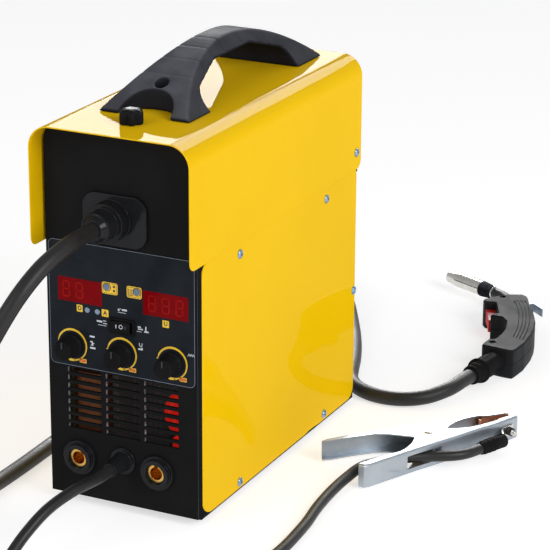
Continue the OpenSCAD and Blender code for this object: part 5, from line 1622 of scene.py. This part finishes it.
def makeClampPivot():
    c, half = clampParts, clampParts["lowerHalf"]
    rivet = [
        (turnedShape(c["rivetDome"], 48), onClamp() @ flipped(side) @ movedTo(0, 0, half))
        for side in (1, -1)
    ] + [(rodShape(c["rivet"], 2 * half), onClamp() @ movedTo(0, 0, -half))]
    shown(joined(*rivet), "clampRivet", "steelBright", "clamp_pivot", 30, stands=True)
    s = c["spring"]
    steps = 24 * s["turns"]
    coil = [
        (*onCircle(s["radius"], 15 * i), s["low"] + s["height"] * i / steps)
        for i in range(steps + 1)
    ]
    spring = joined((tubeShape(coil, s["wire"], 2), onClamp()))
    shown(spring, "clampSpring", "steelBright", "clamp_pivot", 50)


makeHandle()
makeLevers()
clampBoot = makeClampFittings()
makeClampPivot()
print("earth clamp made")


# pieces on the leads, then the leads

torchBootShape = dict(
    start=(-27, -100.85), turn=145.7,
    profile=[
        (0, -8), (12.2, -8), (12.5, -7.7), (12.5, 32.4), (13.6, 32.9), (14.2, 33.3), (14.2, 34.7),
        (13.7, 35.1), (12.1, 35.4), (11.9, 36.2), (11.8, 38), (11.2, 38.6), (11.2, 39.6),
        (11.6, 40.2), (11.5, 42), (10.9, 42.6), (10.9, 43.6), (11.3, 44.2), (11.1, 46),
        (10.6, 46.6), (10.6, 47.6), (10.9, 48.2), (10.6, 51.2), (10.1, 51.9), (8.3, 52), (0, 52),
    ],
)
coilTies = dict(  # where: angle and width; profile: share of the thickness and of the width
    torch=(62.0, 16.0), earth=(75.0, 12.0), thickness=1.3, sides=64, buckle=(3.0, 1.25, 6.0),
    buckleEdge=0.8, buckleAt=(-0.4, 1.5),
    profile=[(0.05, 0.5), (0.05, -0.5), (0.9, -0.5), (1.0, -0.46), (1.0, 0.46), (0.9, 0.5)],
)


def makeTorchBoot():
    b = torchBootShape
    boot = joined((turnedShape(b["profile"]), onTorch() @ lyingAt(*b["start"], b["turn"])))
    return shown(
        boot, "torchBootTapered", "blackRubber", "torch_boot", 34, stands=True, even=False
    )


def makeCoilTie(name, lead, where):
    # a strap drawn round every turn of the coil that passes one side of it
    c, (degrees, width) = coilTies, where
    turns, way = abs(lead["coilTurns"]), math.copysign(1, lead["coilTurns"])
    centre = Vector((*lead["coilCentre"], 0))
    crossings = []
    t = way * (degrees - lead["coilStart"]) / 360 % 1
    while t < turns:
        p = coilPoint(lead, t)
        crossings.append(((p - centre).xy.length / mm, p.z / mm))
        t += 1
    r, n = lead["diameter"] / 2 / mm, c["sides"]
    bm = bmesh.new()
    rings = []
    for k in range(n):
        nx, ny = onCircle(1, 360 * k / n)
        across, up = max(crossings, key=lambda q: q[0] * nx + q[1] * ny)
        rings.append([
            bm.verts.new((
                (across + (r + thick * c["thickness"]) * nx) * mm, side * width * mm,
                max(up + (r + thick * c["thickness"]) * ny, 0.05 * thick) * mm,
            ))
            for thick, side in c["profile"]
        ])
    for k in range(n):
        ring, ahead = rings[k], rings[(k + 1) % n]
        for i in range(len(ring)):
            j = (i + 1) % len(ring)
            bm.faces.new((ring[i], ring[j], ahead[j], ahead[i]))
    outer = max(crossings)[0] + r + c["thickness"]
    there = Matrix.Translation(centre) @ turned(degrees, "Z")
    wide, share, tall = c["buckle"]
    buckle = barShape((wide, width * share, tall), c["buckleEdge"])
    out, up = c["buckleAt"]
    tie = joined((bm, there), (buckle, there @ movedTo(outer + out, 0, r + up)))
    return shown(tie, name, "tieStrap", "torch_boot", 40)


torchBoot = makeTorchBoot()
torchTie = makeCoilTie("torchCoilTie", torchLead, coilTies["torch"])
earthTie = makeCoilTie("earthCoilTie", earthLead, coilTies["earth"])
layLead("torchLead", torchLead, onTorch())
layLead("earthLead", earthLead, onClamp())
print("leads laid")


# marks on the rocker, one each side of its middle

rockerMarks = dict(
    x=1.1, z=193.3, half=10.2, valley=-182.5, slope=1.4, one=-4.9, two=4.9, height=3.7,
    ring=(1.45, 2.15), sink=0.05, rise=0.06, bar=0.8, faintBars=(0.75, 0.7),
)


def makeRockerMarks():
    r = rockerMarks

    def drawOn(name, finish, draw):
        bm = bmesh.new()
        draw(bm)
        raiseFlat(bm, r["valley"] + r["sink"], r["valley"] - r["rise"])
        for v in bm.verts:
            v.co.y -= abs(v.co.x / mm - r["x"]) / r["half"] * r["slope"] * mm
        shown(bm, name, finish, "mode_rocker", 30)

    def clear(bm):
        flatBar(bm, r["x"] + r["one"], r["z"], r["bar"], r["height"])
        flatArc(bm, r["x"], r["z"], *r["ring"], 0, 360, 32)

    def faint(bm):
        apart, width = r["faintBars"]
        for side in (-apart, apart):
            flatBar(bm, r["x"] + r["two"] + side, r["z"], width, r["height"])

    drawOn("rockerMarks", "whiteInk", clear)
    drawOn("rockerMarksFaint", "dialLine", faint)


makeRockerMarks()
print("rocker marked")


# wire feed


def alongX(x, y, z):
    return movedTo(x, y, z) @ turned(90, "Y")


# turn: how far each point lies below the crest, and its place along one turn of wire
wireSpool = dict(
    low=-29.5, high=15.5, centre=(95, 319.5), rim=50.0, bore=8.2, flange=3.0, wound=41.0,
    pitch=1.3, windows=6, windowAt=31.0, recess=(20.0, 46.0, 0.7), edge=0.5,
    windowHole=(7.5, 12, 32, 0.2), end=0.6, turn=[(0.45, 0), (0.08, 0.3), (0, 0.65), (0.08, 1.0)],
)


def makeWireSpool():
    w = wireSpool
    y, z = w["centre"]
    bore, rim, full, wound, e = (w[k] for k in ("bore", "rim", "flange", "wound", "edge"))
    innerRim, outerRim, deep = w["recess"]
    flanges = []
    for side, x in ((-1, w["low"]), (1, w["high"])):
        flange = turnedShape([
            (bore, 0), (rim - e, 0), (rim, e), (rim, full - e), (rim - e, full),
            (outerRim + e, full), (outerRim, full - deep), (innerRim, full - deep),
            (innerRim - e, full), (bore, full), (bore, 0),
        ], 96)
        windows = joined(*(
            (rodShape(*w["windowHole"]),
             movedTo(*onCircle(w["windowAt"], 360 * k / w["windows"]), -w["windowHole"][1] / 2))
            for k in range(w["windows"])
        ))
        where = alongX(x - side * full, y, z) @ flipped(side)
        flanges.append((cutFrom(flange, windows), where))
    shown(
        joined(*flanges), "spoolFlanges", "feederPlastic", "wire_spool",
        slot="feeder_plastic", stands=True,
    )
    low, high = w["low"] + full, w["high"] - full
    profile = [(bore, low), (wound - w["end"], low)]
    for k in range(int((high - low) / w["pitch"])):
        start = low + w["pitch"] * k
        profile += [(wound - below, start + along) for below, along in w["turn"]]
    profile += [(wound - w["end"], high), (bore, high), (bore, low)]
    wire = joined((turnedShape(profile, 72), alongX(0, y, z)))
    shown(wire, "woundWire", "wireBright", "wire_spool", 70, even=False)


feedMotor = dict(
    at=(9.0, -60.0, 282.9),
    gearbox=[
        (0, 0), (17.5, 0), (18, 0.5), (18, 3.6), (17.5, 4.1), (17.5, 5), (18, 5.5), (18, 21.5),
        (17.5, 22), (0, 22),
    ],
    can=[
        (0, 22), (16.5, 22), (16.5, 26), (16.15, 26.3), (16.15, 26.9), (16.5, 27.2), (16.5, 62),
        (16, 63), (15.2, 63.4), (0, 63.4),
    ],
    cap=[
        (0, 63), (11.5, 63), (12, 63.6), (12, 64.4), (11.5, 64.7), (4.4, 64.7), (4.1, 66), (0, 66),
    ],
    screw=(1.6, 1.2, 20, 0.2), screwsAt=(15.33, 21.8), terminal=((1.2, 4.2, 0.6), 0.1),
    terminalsAt=(65.3, 8), shaft=(3, 22, -13),
)


def makeFeedMotor():
    m = feedMotor
    x, y, z = m["at"]
    where = alongX(x, y, z)
    radius, height = m["screwsAt"]
    out, apart = m["terminalsAt"]

    def show(name, finish, pieces, stands=False):
        shown(joined(*pieces), name, finish, "gear_motor", 36, stands=stands, even=False)

    show("gearboxCase", "motorCase", [(turnedShape(m["gearbox"]), where)] + [
        (rodShape(*m["screw"]), where @ movedTo(*onCircle(radius, 45 + 90 * k), height))
        for k in range(4)
    ], True)
    show("motorCan", "galvanised", [(turnedShape(m["can"]), where)])
    show("motorEnd", "feederPlastic", [(turnedShape(m["cap"], 48), where)] + [
        (barShape(*m["terminal"]), movedTo(x + out, y + apart * side, z)) for side in (-1, 1)
    ])
    radius, length, start = m["shaft"]
    show("driveShaft", "steelBright", [(rodShape(radius, length), alongX(start, y, z))])


tensionKnob = dict(
    at=(-23, -88),
    stud=[
        (0, 307.9), (3.1, 307.9), (3.5, 308.3), (3.5, 312.5), (3.1, 312.9), (2, 313.2), (2, 323),
        (0, 323),
    ],
    grip=[
        (0, 321.9), (4.2, 321.9), (4.5, 322.2), (4.5, 327.4), (7.4, 328.0), (8.3, 328.5),
        (8.5, 329.4), (8.5, 343.6), (8.1, 344.9), (6.9, 345.6), (5.2, 345.8), (0, 345.8),
    ],
    grips=16, gripDepth=0.55, gripFrom=329, gripTo=344, gripLeast=8,
)


def makeTensionKnob():
    t = tensionKnob
    where = movedTo(*t["at"], 0)

    def grips(angle, r, h):
        if not t["gripFrom"] < h < t["gripTo"] or r < t["gripLeast"]:
            return r
        return r - t["gripDepth"] * (0.5 + 0.5 * math.cos(t["grips"] * angle)) ** 2

    stud = joined((turnedShape(t["stud"], 32), where))
    shown(
        stud, "tensionStud", "steelBright", "tension_knob", 36, "roll_steel", stands=True,
        even=False,
    )
    grip = joined((turnedShape(t["grip"], 128, grips), where))
    shown(grip, "tensionGrip", "feederPlastic", "tension_knob", 36, even=False)


handleScrews = dict(at=(-95, 127.8), seat=398.0, length=16.6, nut=(9, 2.2), nutAt=381.5)


def makeHandleScrews():
    s = handleScrews
    pieces = []
    for y in s["at"]:
        pieces.append((
            screwShape(s["length"]), movedTo(0, y, s["seat"]) @ turned(20 + y / 9, "Z")
        ))
        pieces.append((hexNut(*s["nut"]), movedTo(0, y, s["nutAt"])))
    shown(joined(*pieces), "handleScrewsCross", "blackOxide", "handle_screws", 35, stands=True)


makeWireSpool()
makeFeedMotor()
makeTensionKnob()
makeHandleScrews()
print("wire feed made")


# floor and lights, in metres

studio = dict(
    floorHalf=9.0, worldLow=0.62, worldHigh=0.3,
    floorLook=look(
        (0.62, 0.62, 0.625), (0.63, 0.63, 0.635), (0.6, 0.75), 0.8, 300, 0.02,
        specular=0.0, glow=(1, 1, 1, 0.62),
    ),
    lamps=[  # name, place, target, width, height, power, lights matt surfaces
        ("keyLight", (-1.2, -2.8, 1.7), (0, 0, 0.15), 1.8, 1.8, 24.0, True),
        ("sideLight", (2.6, -0.9, 1.7), (0, 0, 0.2), 1.4, 1.4, 46.0, True),
        ("backCard", (-1.6, 3.2, 1.3), (0, 0, 0.38), 1.1, 0.95, 58.0, False),
        ("bendCard", (-0.25, 3.3, 2.4), (0, 0, 0.38), 2.5, 0.8, 82.0, False),
    ],
)


def makeStudio():
    s = studio
    bm = bmesh.new()
    bmesh.ops.create_grid(bm, x_segments=2, y_segments=2, size=s["floorHalf"])
    floor = link("floor", asMesh(bm, "floor"))
    floor.data.materials.append(makeFinish("floorPaper", s["floorLook"]))
    world = bpy.data.worlds.new("studioLight")
    scene.world = world
    world.use_nodes = True
    sky = world.node_tree
    back = sky.nodes["Background"]
    back.inputs["Color"].default_value = (1.0, 1.0, 1.0, 1.0)
    way = addNode(sky, "TexCoord", (-800, 0))
    split = addNode(sky, "SeparateXYZ", (-600, 0))
    fall = addNode(  # dimmer towards the ceiling
        sky, "MapRange", (-400, 0), {"To Min": s["worldLow"], "To Max": s["worldHigh"]}
    )
    wire(
        sky, (way, "Generated", split, "Vector"), (split, "Z", fall, "Value"),
        (fall, "Result", back, "Strength"),
    )
    for name, at, target, width, height, power, onMatt in s["lamps"]:
        data = bpy.data.lights.new(name, "AREA")
        data.shape = "RECTANGLE"
        data.size, data.size_y, data.energy = width, height, power
        lamp = link(name, data)
        lamp.visible_camera, lamp.visible_diffuse = False, onMatt
        lamp.location = at
        aim = Vector(target) - Vector(at)
        lamp.rotation_euler = aim.to_track_quat("-Z", "Y").to_euler()
    scene.view_settings.view_transform = "Standard"


makeStudio()
print("studio set")
